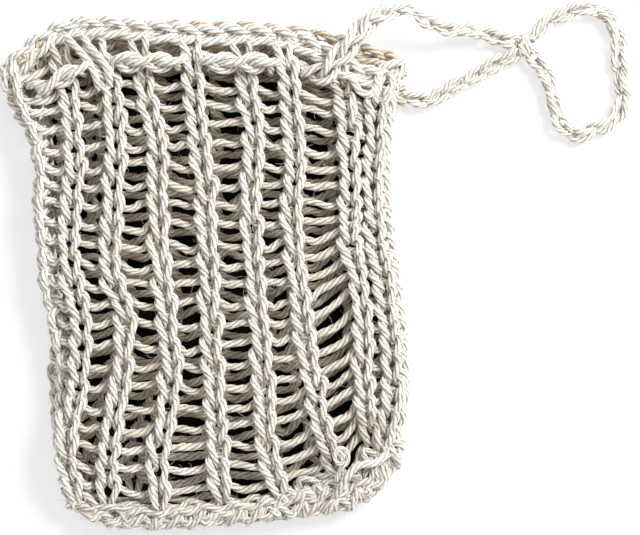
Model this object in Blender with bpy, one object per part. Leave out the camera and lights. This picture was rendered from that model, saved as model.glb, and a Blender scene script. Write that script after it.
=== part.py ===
"""Soap saver bag: a hand-knitted cotton pouch with a crocheted drawstring, lying on its back.

The pouch is one knitted tube laid flat, so it has a front wall, a back wall and a fold along each side.
Columns of stitches (wales) run up each wall, and a ladder rung joins them at every row.
+X is to the bag's right, +Y runs up to its mouth, and +Z is up from the surface that it lies on.
The origin is on the back wall's underside, in the middle of the bag.
Sizes are in millimetres until a point is placed.
"""

import math

import bmesh
import bpy
from mathutils import Vector

MM = 0.001

# Yarn and knitting
YARN = 2.35
CLEARANCE = 0.3
WALES = 8
ROWS = 23
ROW_HEIGHT = 5.45
STITCH_WIDTH = 6.8
STITCH_NECK = 4.8
RIDGE_RISE = 0.9
STITCH_STEP = 0.45

# The pouch, laid flat
WALL_THICKNESS = 3.4
POCKET_GAP = 6.8
WALE_SPAN = 84.5
SPAN_MIDDLE_X = 5.6
BOTTOM_Y = -61.9
LEFT_FOLD = 7.0
RIGHT_FOLD = 3.0
FOLD_GAP = 0.6
CLOSING_ROWS = 3.0
FRONT_CLOSING = 4.1
BACK_CLOSING = 1.9
RIGHT_CORNER_RISE = 9.0
LEFT_CORNER_RISE = 4.0
RIGHT_MOUTH_DIP = 10.5
LEFT_MOUTH_DIP = 3.0
CORNER_REACH = 1.3
# The right corner and its dip start at this share of the way across, and the left ones stop at that one
RIGHT_CORNER_FROM = 0.62
LEFT_CORNER_UP_TO = 0.2

# How far the middle of the wales sways sideways, and how far they draw in, from the bottom up.
# Each pair is a share of the height and a size.
MIDDLE_SWAY = ((0.0, 0.4), (0.15, 3.2), (0.35, 2.6), (0.6, 0.2), (0.8, -0.2), (1.0, -0.8))
SPAN_SWAY = ((0.0, -13.0), (0.12, -3.5), (0.25, -2.0), (0.45, -1.5), (0.7, 0.0), (1.0, 1.5))
# Where each front wale stands across the span. The last two crowd towards the right fold.
FRONT_WALE_SHARES = (0.0, 0.13, 0.29, 0.45, 0.59, 0.73, 0.89, 1.0)

# The mouth's rim, a chain of stitches, and the whip-stitched seam along the bottom
RIM_RADIUS = 2.3
RIM_PITCH = 7.3
RIM_SWELL = 0.14
RIM_DROP = 0.6
RIM_GAP = 0.5
# The rims' ways past the ends of the walls. The front one's is measured from the left fold's edge and the
# rim's left end, and the back one's from the last wale and the rim's middle
FRONT_RIM_FLARE = ((-4.4, -15.0, -3.2), (-5.2, -9.5, -2.2), (-4.2, -4.4, -1.0), (1.0, 0.4, -0.2))
BACK_RIM_RAISED = ((-14.0, 1.6, 0.0), (-4.0, 0.8, 0.4), (4.6, -3.6, 1.0), (7.4, -9.6, 2.0))
SEAM_RADIUS = 2.7
SEAM_PITCH = 6.2
SEAM_SWELL = 0.12

# The drawstring, a crocheted chain, threaded through the row below the mouth's last one
CORD_RADIUS = 1.6
CASING_ROW = 22
CASING_REACH = 1.6
FRONT_WEAVE = 1.2
CORD_SPACING = 3.2
TURN_RISE = 1.8
# Where the back run bends up inside the left fold: to the right of the turn, and over the back wall
BACK_RUN_BEND = (1.2, 0.4)
# Where the front run turns inwards there: to the right of the turn, and over the front wall's middle
FRONT_RUN_BEND = (1.0, 1.9)
# Where it rises before the rim, over the same middle, and how far across it then leaves the casing
FRONT_RUN_RISE = 2.2
FRONT_RUN_LEAVES = 0.03
# Its places over the rim, measured from where it leaves the casing and from the rim's top
OVER_RIM_WAY = ((0.5, 1.0, 0.0), (4.2, 7.0, 0.4), (8.4, 13.0, 0.2))
KNOT_RADIUS = 3.0
KNOT_LEAN = 0.2
KNOT_OVERHANG = 1.0
# The knot's thickness, as shares: of its turns, at its ends, and how much its two turns stand out
KNOT_GAUGE = 0.94
KNOT_END = 0.62
KNOT_TURN_SWELL = 0.06
CORD_REST = CORD_RADIUS + 0.1

# Where the drawstring lies outside the bag: plan positions along its way. Each end meets the knot
# at a place up or down its side.
FRONT_STRAND_WAY = ((49.0, 71.2), (54.5, 72.6), (61.0, 70.2), (68.0, 67.6), (75.5, 66.8), (80.0, 66.0))
SIDE_STRAND_WAY = ((62.0, 48.4), (68.5, 51.6), (74.5, 54.6), (79.5, 58.2))
KNOT_AT = (88.6, 63.4)
FRONT_STRAND_MEETS = 1.9
SIDE_STRAND_MEETS = -2.1
LOOP_MEETS = (2.4, -2.2)
LOOP_WAY = (
    (98.0, 71.4), (104.5, 73.6), (111.5, 72.4), (116.2, 66.6), (117.6, 58.8), (116.6, 50.4),
    (111.4, 44.0), (104.4, 40.0), (98.4, 43.4), (96.2, 50.4), (94.4, 56.4),
)

COTTON = (0.79, 0.765, 0.70, 1.0)
COTTON_LIGHT = (0.83, 0.81, 0.755, 1.0)


def eased(value):
    """A smooth step from 0 to 1."""
    value = min(1.0, max(0.0, value))
    return value * value * (3.0 - 2.0 * value)


def read_curve(pairs, at):
    """The value at a place on a smooth curve through (place, value) pairs."""
    at = min(pairs[-1][0], max(pairs[0][0], at))
    last = len(pairs) - 2
    index = min(last, max(i for i in range(len(pairs)) if pairs[i][0] <= at))
    (a, low), (b, high) = pairs[index], pairs[index + 1]
    share = (at - a) / (b - a)

    def slope(i):
        before, after = pairs[max(0, i - 1)], pairs[min(len(pairs) - 1, i + 1)]
        return (after[1] - before[1]) / (after[0] - before[0]) * (b - a)

    cube, square = share ** 3, share ** 2
    value = low * (2 * cube - 3 * square + 1) + slope(index) * (cube - 2 * square + share)
    return value + high * (3 * square - 2 * cube) + slope(index + 1) * (cube - square)


def smooth_route(points, spacing):
    """Points at about the given spacing on a smooth curve through the route's own points."""
    points = [Vector(point) for point in points]
    ends = [2 * points[0] - points[1]] + points + [2 * points[-1] - points[-2]]
    fine = []
    for i in range(1, len(ends) - 2):
        before, start, stop, after = ends[i - 1:i + 3]
        for step in range(12):
            t = step / 12
            fine.append(0.5 * (
                2 * start + (stop - before) * t
                + (2 * before - 5 * start + 4 * stop - after) * t * t
                + (3 * start - before - 3 * stop + after) * t ** 3
            ))
    fine.append(points[-1])
    length = sum((b - a).length for a, b in zip(fine, fine[1:]))
    count = max(2, round(length / spacing))
    route, walked, index = [fine[0]], 0.0, 0
    for step in range(1, count):
        wanted = length * step / count
        while walked + (fine[index + 1] - fine[index]).length < wanted:
            walked += (fine[index + 1] - fine[index]).length
            index += 1
        piece = fine[index + 1] - fine[index]
        route.append(fine[index] + piece * ((wanted - walked) / piece.length))
    return route + [fine[-1]]


def shortened(route, start=0.0, stop=0.0):
    """The route with a length cut off its start and its end."""
    route = list(route)
    for cut in (start, stop):
        while cut > 0.0:
            step = (route[1] - route[0]).length
            if step > cut:
                route[0] = route[0].lerp(route[1], cut / step)
                break
            cut -= step
            route.pop(0)
        route.reverse()
    return route


# The shape that the whole pouch follows


def up_share(row):
    """How far up the pouch a row is, from 0 at the bottom to 1 at the mouth."""
    return min(1.0, max(0.0, row / ROWS))


def wale_x(share, row):
    """The X of a line up the wall that stands at a share of the way across."""
    height = up_share(row)
    span = WALE_SPAN + read_curve(SPAN_SWAY, height)
    return SPAN_MIDDLE_X + read_curve(MIDDLE_SWAY, height) + (share - 0.5) * span


def row_y(share, row, offset=0.0):
    """The Y of a row where it crosses that line: the corners are drawn up and the mouth dips."""
    height = up_share(row)
    right = min(CORNER_REACH, max(0.0, (share - RIGHT_CORNER_FROM) / (1.0 - RIGHT_CORNER_FROM)))
    left = min(CORNER_REACH, max(0.0, (LEFT_CORNER_UP_TO - share) / LEFT_CORNER_UP_TO))
    corner = (RIGHT_CORNER_RISE * right ** 2 + LEFT_CORNER_RISE * left ** 2) * (1.0 - height) ** 4
    dip = (RIGHT_MOUTH_DIP * eased(right) + LEFT_MOUTH_DIP * eased(left)) * height ** 6
    return BOTTOM_Y + row * ROW_HEIGHT + offset + corner - dip


def on_wall(share, row, offset, across, height):
    """A place on the pouch: beside a line up the wall, and above a row."""
    at = row + offset / ROW_HEIGHT
    return Vector((wale_x(share, at) + across, row_y(share + across / WALE_SPAN, row, offset), height))


def beyond_row(share, row, distance, height):
    """A place at a distance square to a row's line, above it or, where negative, below it."""
    offset = math.copysign(YARN / 2, distance)
    step = 0.01
    before, here, after = (on_wall(s, row, offset, 0.0, height) for s in (share - step, share, share + step))
    along = (after - before).normalized()
    return here + Vector((-along.y, along.x, 0.0)) * distance


def closing(row):
    """How far the two walls have come together towards the seam, from 0 to 1."""
    return 1.0 - eased(row / CLOSING_ROWS)


def back_level(row):
    """The height of the back wall's middle plane."""
    return WALL_THICKNESS / 2 + BACK_CLOSING * closing(row)


def front_level(row):
    """The height of the front wall's middle plane."""
    return WALL_THICKNESS * 1.5 + POCKET_GAP - FRONT_CLOSING * closing(row)


def casing_bump(row):
    """1 where the drawstring crosses a wale, and 0 away from it."""
    distance = abs(row - CASING_ROW) / CASING_REACH
    return 0.5 + 0.5 * math.cos(math.pi * distance) if distance < 1.0 else 0.0


BACK_WEAVE = (WALL_THICKNESS / 2 + CORD_RADIUS + CLEARANCE) / 2
BACK_LIFT = 2 * BACK_WEAVE
FRONT_CORD_WEAVE = 2 * BACK_WEAVE - FRONT_WEAVE


def front_offset(wale, row):
    """How far a front wale is pushed out of its wall by the drawstring."""
    return (-FRONT_WEAVE if wale % 2 == 0 else FRONT_WEAVE) * casing_bump(row)


def back_offset(wale, row):
    """How far a back wale is lifted by the drawstring that lies under it."""
    return 0.0 if wale % 2 == 0 else BACK_LIFT * casing_bump(row)


def back_share(wale):
    """Where a back wale stands across the span."""
    return wale / (WALES - 1)


# Making objects


def cotton(name, colour):
    material = bpy.data.materials.new(name)
    material.use_nodes = True
    shader = material.node_tree.nodes["Principled BSDF"]
    shader.inputs["Base Color"].default_value = colour
    shader.inputs["Roughness"].default_value = 0.9
    shader.inputs["Metallic"].default_value = 0.0
    material.diffuse_color = colour
    return material


def finish_mesh(name, bm, colour):
    """Turn a bmesh that was built in millimetres into an object in metres."""
    bmesh.ops.scale(bm, vec=(MM, MM, MM), verts=bm.verts)
    bmesh.ops.recalc_face_normals(bm, faces=bm.faces)
    mesh = bpy.data.meshes.new(name)
    bm.to_mesh(mesh)
    bm.free()
    mesh.materials.append(cotton(name, colour))
    obj = bpy.data.objects.new(name, mesh)
    bpy.context.collection.objects.link(obj)
    return obj


def tube(name, route, radius, colour, swell=None, resolution=2):
    """A round cord along a route. swell gives the radius's share at each point."""
    curve = bpy.data.curves.new(name, "CURVE")
    curve.dimensions = "3D"
    curve.bevel_depth = radius * MM
    curve.bevel_resolution = resolution
    curve.use_fill_caps = True
    spline = curve.splines.new("POLY")
    spline.points.add(len(route) - 1)
    for i, point in enumerate(route):
        spline.points[i].co = (*(point * MM), 1.0)
        if swell:
            spline.points[i].radius = swell[i]
    curve.materials.append(cotton(name, colour))
    obj = bpy.data.objects.new(name, curve)
    bpy.context.collection.objects.link(obj)
    return obj


def beaded_tube(name, route, radius, pitch, swell, colour):
    """A cord that swells once in each stitch, as a chain does."""
    walked = [0.0]
    for a, b in zip(route, route[1:]):
        walked.append(walked[-1] + (b - a).length)
    beads = max(1, round(walked[-1] / pitch))
    phases = [2 * math.pi * beads * length / walked[-1] for length in walked]
    return tube(name, route, radius, colour, [1.0 - swell * math.cos(phase) for phase in phases])


def net(columns, keep, place, colour, name, flatten=None):
    """An openwork solid: a grid of faces with its gaps taken out, given thickness, then laid in place.

    columns is how many face columns the grid has. keep(column, row) says which faces stay. place takes
    a grid corner and its side, 0 inside or 1 outside, and gives where it lies.
    """
    face_rows = 2 * ROWS + 1
    bm = bmesh.new()
    bmesh.ops.create_grid(bm, x_segments=columns, y_segments=face_rows, size=0.5)
    for vert in bm.verts:
        vert.co = (round((vert.co.x + 0.5) * columns), round((vert.co.y + 0.5) * face_rows), 0.0)
    gaps = []
    for face in bm.faces:
        middle = face.calc_center_median()
        if not keep(int(middle.x), int(middle.y)):
            gaps.append(face)
    bmesh.ops.delete(bm, geom=gaps, context="FACES")
    outer = bmesh.ops.extrude_face_region(bm, geom=list(bm.faces))["geom"]
    bmesh.ops.translate(bm, vec=(0, 0, 1), verts=[v for v in outer if isinstance(v, bmesh.types.BMVert)])
    if flatten:
        middles = [
            edge for edge in bm.edges
            if all(v.co.z < 0.5 and flatten(round(v.co.x)) for v in edge.verts)
            and abs(edge.verts[0].co.x - edge.verts[1].co.x) < 0.5
        ]
        bmesh.ops.dissolve_edges(bm, edges=middles, use_verts=True)
    for vert in bm.verts:
        vert.co = place(round(vert.co.x), round(vert.co.y), round(vert.co.z))
    return finish_mesh(name, bm, colour)


def row_edge(line):
    """The row, the offset from it, and the wale's half width at a grid line.

    Even lines are the lower edges of the rungs, where a stitch is widest, and odd lines their upper ones.
    """
    upper = line % 2 == 1
    offset = YARN / 2 if upper else -YARN / 2
    return line // 2, offset, (STITCH_NECK if upper else STITCH_WIDTH) / 2


# The sub-parts


def make_back_wall():
    """The wall that lies on the surface: its wales are pressed flat there."""

    def keep(column, row):
        return column % 2 == 0 or (row % 2 == 0 and row // 2 != CASING_ROW)

    def place(corner, line, side):
        row, offset, half = row_edge(line)
        wale, across = corner // 2, (half if corner % 2 else -half)
        share = back_share(wale)
        at = row + offset / ROW_HEIGHT
        level = back_level(at) + back_offset(wale, at)
        thickness = -WALL_THICKNESS / 2 if side else WALL_THICKNESS / 2
        return on_wall(share, row, offset, across, level + thickness)

    return net(2 * WALES - 1, keep, place, COTTON, "back_wall")


def make_front_wall():
    """The wall that faces up: each wale is a ridge that steps once a stitch."""

    def keep(column, row):
        return column % 3 != 2 or (row % 2 == 0 and row // 2 != CASING_ROW)

    def place(corner, line, side):
        row, offset, half = row_edge(line)
        wale, part = corner // 3, corner % 3 - 1
        share = FRONT_WALE_SHARES[wale]
        at = row + offset / ROW_HEIGHT
        level = front_level(at) + front_offset(wale, at)
        if side:
            level += WALL_THICKNESS / 2
            level -= RIDGE_RISE if part else 0.0
            level -= 0.0 if line % 2 else STITCH_STEP
        else:
            level -= WALL_THICKNESS / 2
        return on_wall(share, row, offset, part * half, level)

    return net(3 * WALES - 1, keep, place, COTTON_LIGHT, "front_wall", flatten=lambda x: x % 3 == 1)


def make_fold(name, share, reach, outward):
    """The side where the tube turns from the front to the back: one wale, with a rung each way."""
    arc_steps = (90.0, 56.0, 26.0, 0.0, -26.0, -56.0, -90.0)
    end_gap = STITCH_WIDTH / 2 + FOLD_GAP

    def keep(column, row):
        return column in (2, 3) or (row % 2 == 0 and row // 2 != CASING_ROW)

    def place(corner, line, side):
        row, offset, half = row_edge(line)
        at = row + offset / ROW_HEIGHT
        low, high = back_level(at), front_level(at)
        spread = half / (STITCH_WIDTH / 2) if corner in (2, 4) else 1.0
        angle = math.radians(arc_steps[corner] * spread)
        radius_z = (high - low) / 2
        thin = YARN / 2 if side else -YARN / 2
        out = (reach - YARN / 2 + thin - FOLD_GAP) * math.cos(angle)
        height = (low + high) / 2 + (radius_z + thin) * math.sin(angle)
        return on_wall(share, row, offset, outward * (end_gap + out), height)

    return net(6, keep, place, COTTON, name)


def make_seam():
    """The whip-stitched seam, drawn along under both walls from one bottom corner to the other."""
    steps = 38
    route = []
    for i in range(steps + 1):
        share = -0.05 + 1.09 * i / steps
        height = (back_level(0) + front_level(0)) / 2
        route.append(beyond_row(share, 0, -CLEARANCE - SEAM_RADIUS * (1.0 + SEAM_SWELL), height))
    return beaded_tube("bottom_seam", route, SEAM_RADIUS, SEAM_PITCH, SEAM_SWELL, COTTON_LIGHT)


def rim_point(share, height):
    """The rim's middle, above the last row."""
    return beyond_row(share, ROWS, RIM_GAP + RIM_RADIUS * (1.0 + RIM_SWELL), height)


def make_front_rim():
    """The bound-off edge of the front wall. It flares out and turns down round the left fold."""
    height = front_level(ROWS) - RIM_DROP
    left = wale_x(0.0, ROWS)
    fold = left - STITCH_WIDTH / 2 - LEFT_FOLD
    corner = rim_point(0.0, height).y
    flare = [Vector((fold + x, corner + y, height + z)) for x, y, z in FRONT_RIM_FLARE]
    along = [rim_point(0.05 * step, height) for step in range(1, 21)]
    route = smooth_route(flare + along, RIM_PITCH / 3)
    return beaded_tube("front_rim", route, RIM_RADIUS, RIM_PITCH, RIM_SWELL, COTTON_LIGHT)


def make_back_rim():
    """The bound-off edge of the back wall. It stands up past the front one at the right."""
    height = RIM_RADIUS * (1.0 + RIM_SWELL)
    along = [rim_point(0.05 * step, height) for step in range(-1, 15)]
    top = rim_point(0.5, height).y
    right = wale_x(1.0, ROWS)
    raised = [Vector((right + x, top + y, height + z)) for x, y, z in BACK_RIM_RAISED]
    route = smooth_route(along + raised, RIM_PITCH / 3)
    return beaded_tube("back_rim", route, RIM_RADIUS, RIM_PITCH, RIM_SWELL, COTTON)


def casing_point(share, height, across=0.0):
    return on_wall(share, CASING_ROW, 0.0, across, height)


def across_wale(share, height):
    """The drawstring's two points at a wale's edges, level with each other."""
    return [casing_point(share, height, side * STITCH_WIDTH / 2) for side in (-1.0, 1.0)]


def turn_point():
    """Where the drawstring comes up inside the left fold, between the back run and the front one."""
    inside = LEFT_FOLD - YARN - CLEARANCE - CORD_RADIUS
    low = casing_point(0.0, 0.0)
    height = (back_level(CASING_ROW) + front_level(CASING_ROW)) / 2 + TURN_RISE
    return Vector((low.x - STITCH_WIDTH / 2 - inside, low.y, height))


def make_back_run():
    """The drawstring in the back wall: inside one wale, outside the next, out under the right fold."""
    inside = WALL_THICKNESS + CLEARANCE + CORD_RADIUS
    outside = CORD_REST
    right = casing_point(1.0, outside)
    beyond = STITCH_WIDTH / 2 + RIGHT_FOLD + CLEARANCE
    route = [Vector((right.x + beyond, right.y - CLEARANCE, outside))]
    for wale in reversed(range(WALES)):
        route += reversed(across_wale(back_share(wale), inside if wale % 2 == 0 else outside))
    top = turn_point()
    bend, rise = BACK_RUN_BEND
    route.append(Vector((top.x + bend, top.y, inside + rise)))
    route.append(Vector((top.x, top.y, top.z - CLEARANCE - CORD_RADIUS)))
    end = Vector((top.x, top.y, top.z - CLEARANCE))
    route = smooth_route(route, CORD_SPACING)
    for point in route:
        point.z = max(point.z, CORD_RADIUS)
    return tube("drawstring_back_run", route + [end], CORD_RADIUS, COTTON_LIGHT)


def make_front_run():
    """The drawstring in the front wall, from the left fold to where it climbs over the rim."""
    middle_level = front_level(CASING_ROW)
    top = turn_point()
    bend, rise = FRONT_RUN_BEND
    route = [top + Vector((0, 0, CORD_RADIUS)), Vector((top.x + bend, top.y, middle_level + rise))]
    for wale in range(WALES - 2):
        weave = FRONT_CORD_WEAVE if wale % 2 == 0 else -FRONT_CORD_WEAVE
        route += across_wale(FRONT_WALE_SHARES[wale], middle_level + weave)
    middle = (FRONT_WALE_SHARES[WALES - 3] + FRONT_WALE_SHARES[WALES - 2]) / 2
    over_rim = front_level(ROWS) - RIM_DROP + RIM_RADIUS * (1.0 + RIM_SWELL) + CLEARANCE + CORD_RADIUS
    route.append(casing_point(middle, middle_level + FRONT_RUN_RISE))
    last = casing_point(middle + FRONT_RUN_LEAVES, 0.0)
    route += [Vector((last.x + x, last.y + y, over_rim + z)) for x, y, z in OVER_RIM_WAY]
    return tube("drawstring_front_run", [top] + smooth_route(route, CORD_SPACING), CORD_RADIUS, COTTON_LIGHT)


def make_yarn_tail():
    """The yarn's end, curled up on the front near the bottom right corner."""
    share, row = 0.9, 1.9
    curl = 2.1
    radius = YARN / 2 * 0.9
    centre = Vector((wale_x(share, row), row_y(share, row), 0.0))
    route = []
    steps = 12
    for i in range(steps + 1):
        angle = math.radians(-60.0 + 280.0 * i / steps)
        up = curl * math.sin(angle)
        height = front_level(row + (up + radius) / ROW_HEIGHT) + WALL_THICKNESS / 2 + CLEARANCE + radius
        route.append(centre + Vector((curl * math.cos(angle), up, height)))
    return tube("yarn_tail", route, radius, COTTON_LIGHT)


def lay(way, heights):
    """Give plan positions their heights, from the first one's to the last one's."""
    first, last = heights
    count = len(way) - 1
    return [Vector((x, y, last + (first - last) * (1.0 - eased(i / count)))) for i, (x, y) in enumerate(way)]


def run_end(cord, last, end):
    """A cord's last two points, in millimetres."""
    points = cord.data.splines[0].points
    return [Vector(points[i].co[:3]) / MM for i in (last, end)]


def run_on(last, end):
    """Two points that carry a cord straight on past its end, after a small gap."""
    onward = (end - last).normalized()
    return [end + onward * CLEARANCE, end + onward * (CLEARANCE + CORD_RADIUS)]


def make_free_cords(front_end, side_end):
    """The two strands that leave the bag, the knot that joins them, and the loop beyond it.

    Each end is the last two points of a run in the casing.
    """
    knot = Vector((*KNOT_AT, KNOT_RADIUS))
    face = Vector((KNOT_RADIUS + 2 * CLEARANCE, 0.0, 0.0))
    height = Vector((0.0, 0.0, CORD_REST + 0.8 - knot.z))
    for name, (last, end), way, side in (
        ("front_strand", front_end, FRONT_STRAND_WAY, FRONT_STRAND_MEETS),
        ("side_strand", side_end, SIDE_STRAND_WAY, SIDE_STRAND_MEETS),
    ):
        start = run_on(last, end)
        meets = knot - face + height + Vector((0.0, side, 0.0))
        route = start[1:] + lay(way, (end.z, CORD_REST)) + [meets]
        route = start[:1] + shortened(smooth_route(route, 3.6), 0.0, CLEARANCE)
        tube(name, route, CORD_RADIUS, COTTON_LIGHT)
    first, last = (knot + face + height + Vector((0.0, side, 0.0)) for side in LOOP_MEETS)
    route = [first] + lay(LOOP_WAY, (CORD_REST, CORD_REST)) + [last]
    route = shortened(smooth_route(route, 3.6), CLEARANCE, CLEARANCE)
    tube("hanging_loop", route, CORD_RADIUS, COTTON_LIGHT)
    make_knot(knot)


def make_knot(middle):
    """A lump that is thickest in the middle, with two turns of yarn across it."""
    steps = 12
    half = KNOT_RADIUS + KNOT_OVERHANG
    route, swell = [], []
    for i in range(steps + 1):
        along = half * (2 * i / steps - 1)
        route.append(middle + Vector((KNOT_LEAN * along, along, 0.0)))
        bulge = KNOT_END + (1.0 - KNOT_END) * math.sin(math.pi * i / steps)
        swell.append(bulge - KNOT_TURN_SWELL * math.cos(math.pi * i / 2))
    tube("drawstring_knot", route, KNOT_RADIUS * KNOT_GAUGE, COTTON_LIGHT, swell, resolution=3)


def build():
    for obj in list(bpy.data.objects):
        bpy.data.objects.remove(obj, do_unlink=True)
    make_back_wall()
    make_front_wall()
    make_fold("left_fold", 0.0, LEFT_FOLD, -1.0)
    make_fold("right_fold", 1.0, RIGHT_FOLD, 1.0)
    make_seam()
    make_front_rim()
    make_back_rim()
    back_run = make_back_run()
    front_run = make_front_run()
    make_yarn_tail()
    make_free_cords(run_end(front_run, -2, -1), run_end(back_run, 1, 0))


build()
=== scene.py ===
"""Soap saver bag, dressed: every strand of the knitted pouch and its crocheted drawstring.

The pouch is knitted in courses round a flat tube. A course goes across the eight wales of the front, round
the right fold, back across the eight wales of the back and round the left fold. Each strand follows its own
way through the stitches, and its plies twist along it. Where the drawstring is free it is a crocheted chain,
and in the mouth it is made as three strands plaited flat.
"""

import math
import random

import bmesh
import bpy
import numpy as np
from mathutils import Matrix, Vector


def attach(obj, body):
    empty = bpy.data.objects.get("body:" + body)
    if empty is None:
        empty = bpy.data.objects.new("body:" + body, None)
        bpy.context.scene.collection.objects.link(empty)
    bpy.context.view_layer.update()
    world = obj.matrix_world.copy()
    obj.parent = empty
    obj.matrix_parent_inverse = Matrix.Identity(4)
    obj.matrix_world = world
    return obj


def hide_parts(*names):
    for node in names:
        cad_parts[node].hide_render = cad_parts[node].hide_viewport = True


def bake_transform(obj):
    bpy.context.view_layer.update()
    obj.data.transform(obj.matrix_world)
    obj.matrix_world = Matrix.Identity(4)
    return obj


bl_info = {
    "name": "Knitted soap saver bag",
    "version": (1, 0, 0),
    "blender": (4, 5, 0),
    "location": "View3D > Sidebar > Soap bag",
    "description": "Knits a cotton soap pouch with a crocheted drawstring, strand by strand",
    "category": "Add Mesh",
}

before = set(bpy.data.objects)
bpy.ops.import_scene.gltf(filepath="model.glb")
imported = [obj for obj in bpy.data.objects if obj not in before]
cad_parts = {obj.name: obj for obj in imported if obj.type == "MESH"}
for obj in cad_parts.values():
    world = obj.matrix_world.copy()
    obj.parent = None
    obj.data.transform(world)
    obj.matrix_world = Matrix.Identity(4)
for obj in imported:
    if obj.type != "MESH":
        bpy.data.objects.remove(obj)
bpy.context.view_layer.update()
MM = 0.001

# Places and lengths below are in millimetres, unless their comment says otherwise

# Where the front wales lie: each wale's X at these rows, counted from the bottom
WAY_ROWS = (0, 3, 6, 9, 12, 15, 18, 21, 23)
WALE_WAYS = (
    (-35.5, -37.4, -34.1, -33.6, -36.6, -35.8, -35.4, -37.5, -39.3),
    (-26.4, -25.9, -22.6, -21.2, -25.3, -24.5, -24.2, -25.6, -29.5),
    (-12.1, -11.6, -8.8, -9.4, -11.6, -12.1, -12.8, -15.8, -17.4),
    (5.5, 3.6, 3.4, 1.9, 1.9, 0.8, -0.9, -2.4, -3.9),
    (21.5, 17.6, 16.5, 15.4, 13.5, 12.9, 14.0, 12.0, 10.5),
    (37.2, 32.2, 29.4, 26.7, 25.3, 24.5, 25.3, 23.8, 21.5),
    (45.6, 44.4, 44.0, 42.7, 40.2, 40.2, 39.9, 38.4, 36.6),
    (48.6, 51.8, 51.2, 49.8, 48.1, 46.6, 46.8, 48.1, 49.6),
)
# How far each back wale lies to the side of the front one over it
BACK_SHIFTS = (
    (-1.5, -1.1, -5.5, -6.6, -4.6, -5.8, -6.4, -5.0, -4.7),
    (-5.5, -5.1, -2.4, -1.3, 0.3, -4.5, -6.0, -4.9, -1.5),
    (-7.2, -6.9, -2.2, 0.0, 0.0, 0.0, 0.0, 0.0, 0.0),
    (-1.5, -1.0, 0.0, 0.0, 0.0, 1.0, 2.0, 3.0, 3.0),
    (0.0, 0.0, 0.0, 0.5, 0.5, 0.0, 0.0, 0.0, 0.0),
    (-4.5, -3.5, -3.0, -1.5, 0.0, 0.0, 0.0, 0.0, 0.0),
    (-2.0, -1.0, -2.0, -3.0, -3.5, -3.5, -3.5, -3.0, -2.0),
    (0.8, 0.8, 0.8, 0.8, 0.8, 0.8, 0.8, 0.8, 0.8),
)
# The left fold's X and height at those rows, and how far it faces up, in degrees
LEFT_FOLD_WAY = (-35.8, -39.2, -38.4, -40.4, -43.4, -44.4, -44.6, -50.4, -52.8)
LEFT_FOLD_HEIGHT = (6.0, 6.4, 6.6, 7.2, 8.4, 9.0, 9.2, 9.6, 9.2)
LEFT_FOLD_FACING = (8.0, 8.0, 8.0, 10.0, 16.0, 18.0, 20.0, 36.0, 45.0)
# How far the bottom row is drawn up, and the top row drawn down, at each wale, and down at the left fold.
# Both fade towards the middle, by these powers of the way to it
BOTTOM_RISE = (-1.2, -1.6, -2.6, -1.8, 0.4, 5.6, 7.4, 7.0)
MOUTH_DIP = (1.6, 0.2, 0.0, 0.0, 0.0, 1.8, 7.6, 10.5)
LEFT_DIP = 7.5
BOTTOM_POWER = 3.5
MOUTH_POWER = 6
# How much higher the lower rows lie at the wales beside the right fold, the row where that ends, and over
# how many rows it fades
RIGHT_RISE = (0.0, 0.0, 0.0, 0.0, 0.0, 0.8, 7.0, 7.4)
RIGHT_RISE_ENDS = 17.0
RIGHT_RISE_ROWS = 8.0

# The pouch: its lowest row, its rows and wales, and the row that the drawstring goes through
BOTTOM_Y = -61.9
ROWS = 23
WALES = 8
CASING_ROW = 22
# The heights of both walls' middles and of the middle of the room between them
BACK_MIDDLE = 2.15
FRONT_MIDDLE = 11.9
POCKET_MIDDLE = 6.9
# The walls come together over so many rows at the bottom, each by this much
CLOSING_ROWS = 3.0
FRONT_CLOSING = 3.6
BACK_CLOSING = 1.6
# How far the right fold stands out, and how much higher the back's rows lie, in rows
RIGHT_FOLD_OUT = 2.8
BACK_ROW_SHIFT = 0.46
# How many rows away the drawstring is felt, and how far it pushes the front's wales and lifts the back's
CASING_REACH = 1.6
FRONT_PUSH = 1.2
BACK_LIFT = 3.6

# The rims, the seam and the yarn that is bunched beside them, as places along their ways
FRONT_RIM_WAY = (
    (55.6, 58.4, 8.0), (51.0, 55.6, 9.9), (45.4, 54.3, 11.2), (39.4, 56.6, 11.7), (33.3, 60.2, 11.6),
    (26.4, 63.7, 11.5), (15.4, 65.6, 11.4), (1.7, 65.6, 11.4), (-12.1, 66.4, 11.4), (-25.9, 67.7, 11.3),
    (-35.5, 67.4, 11.2), (-41.5, 65.6, 11.1), (-46.0, 62.4, 10.9), (-49.4, 59.2, 10.5), (-52.4, 56.2, 9.8),
    (-52.4, 51.4, 9.0),
)
BACK_RIM_WAY = (
    (54.9, 55.0, 5.0), (50.4, 58.8, 4.0), (44.0, 61.0, 3.4), (37.0, 63.4, 3.2), (29.2, 65.2, 3.0),
    (15.0, 66.8, 2.9), (-12.0, 67.2, 2.9), (-34.0, 66.2, 3.0), (-46.0, 61.0, 3.8), (-51.4, 53.6, 5.6),
)
SEAM_WAY = (
    (-37.0, -57.8, 6.0), (-34.8, -62.0, 5.8), (-29.0, -65.4, 5.7), (-15.6, -67.4, 5.7), (1.7, -66.3, 5.7),
    (16.8, -65.2, 5.7), (27.8, -63.8, 5.7), (37.6, -62.2, 5.7), (45.0, -58.8, 5.8), (49.8, -53.4, 6.0),
    (52.2, -47.4, 6.2), (52.0, -43.8, 3.6),
)
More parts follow.
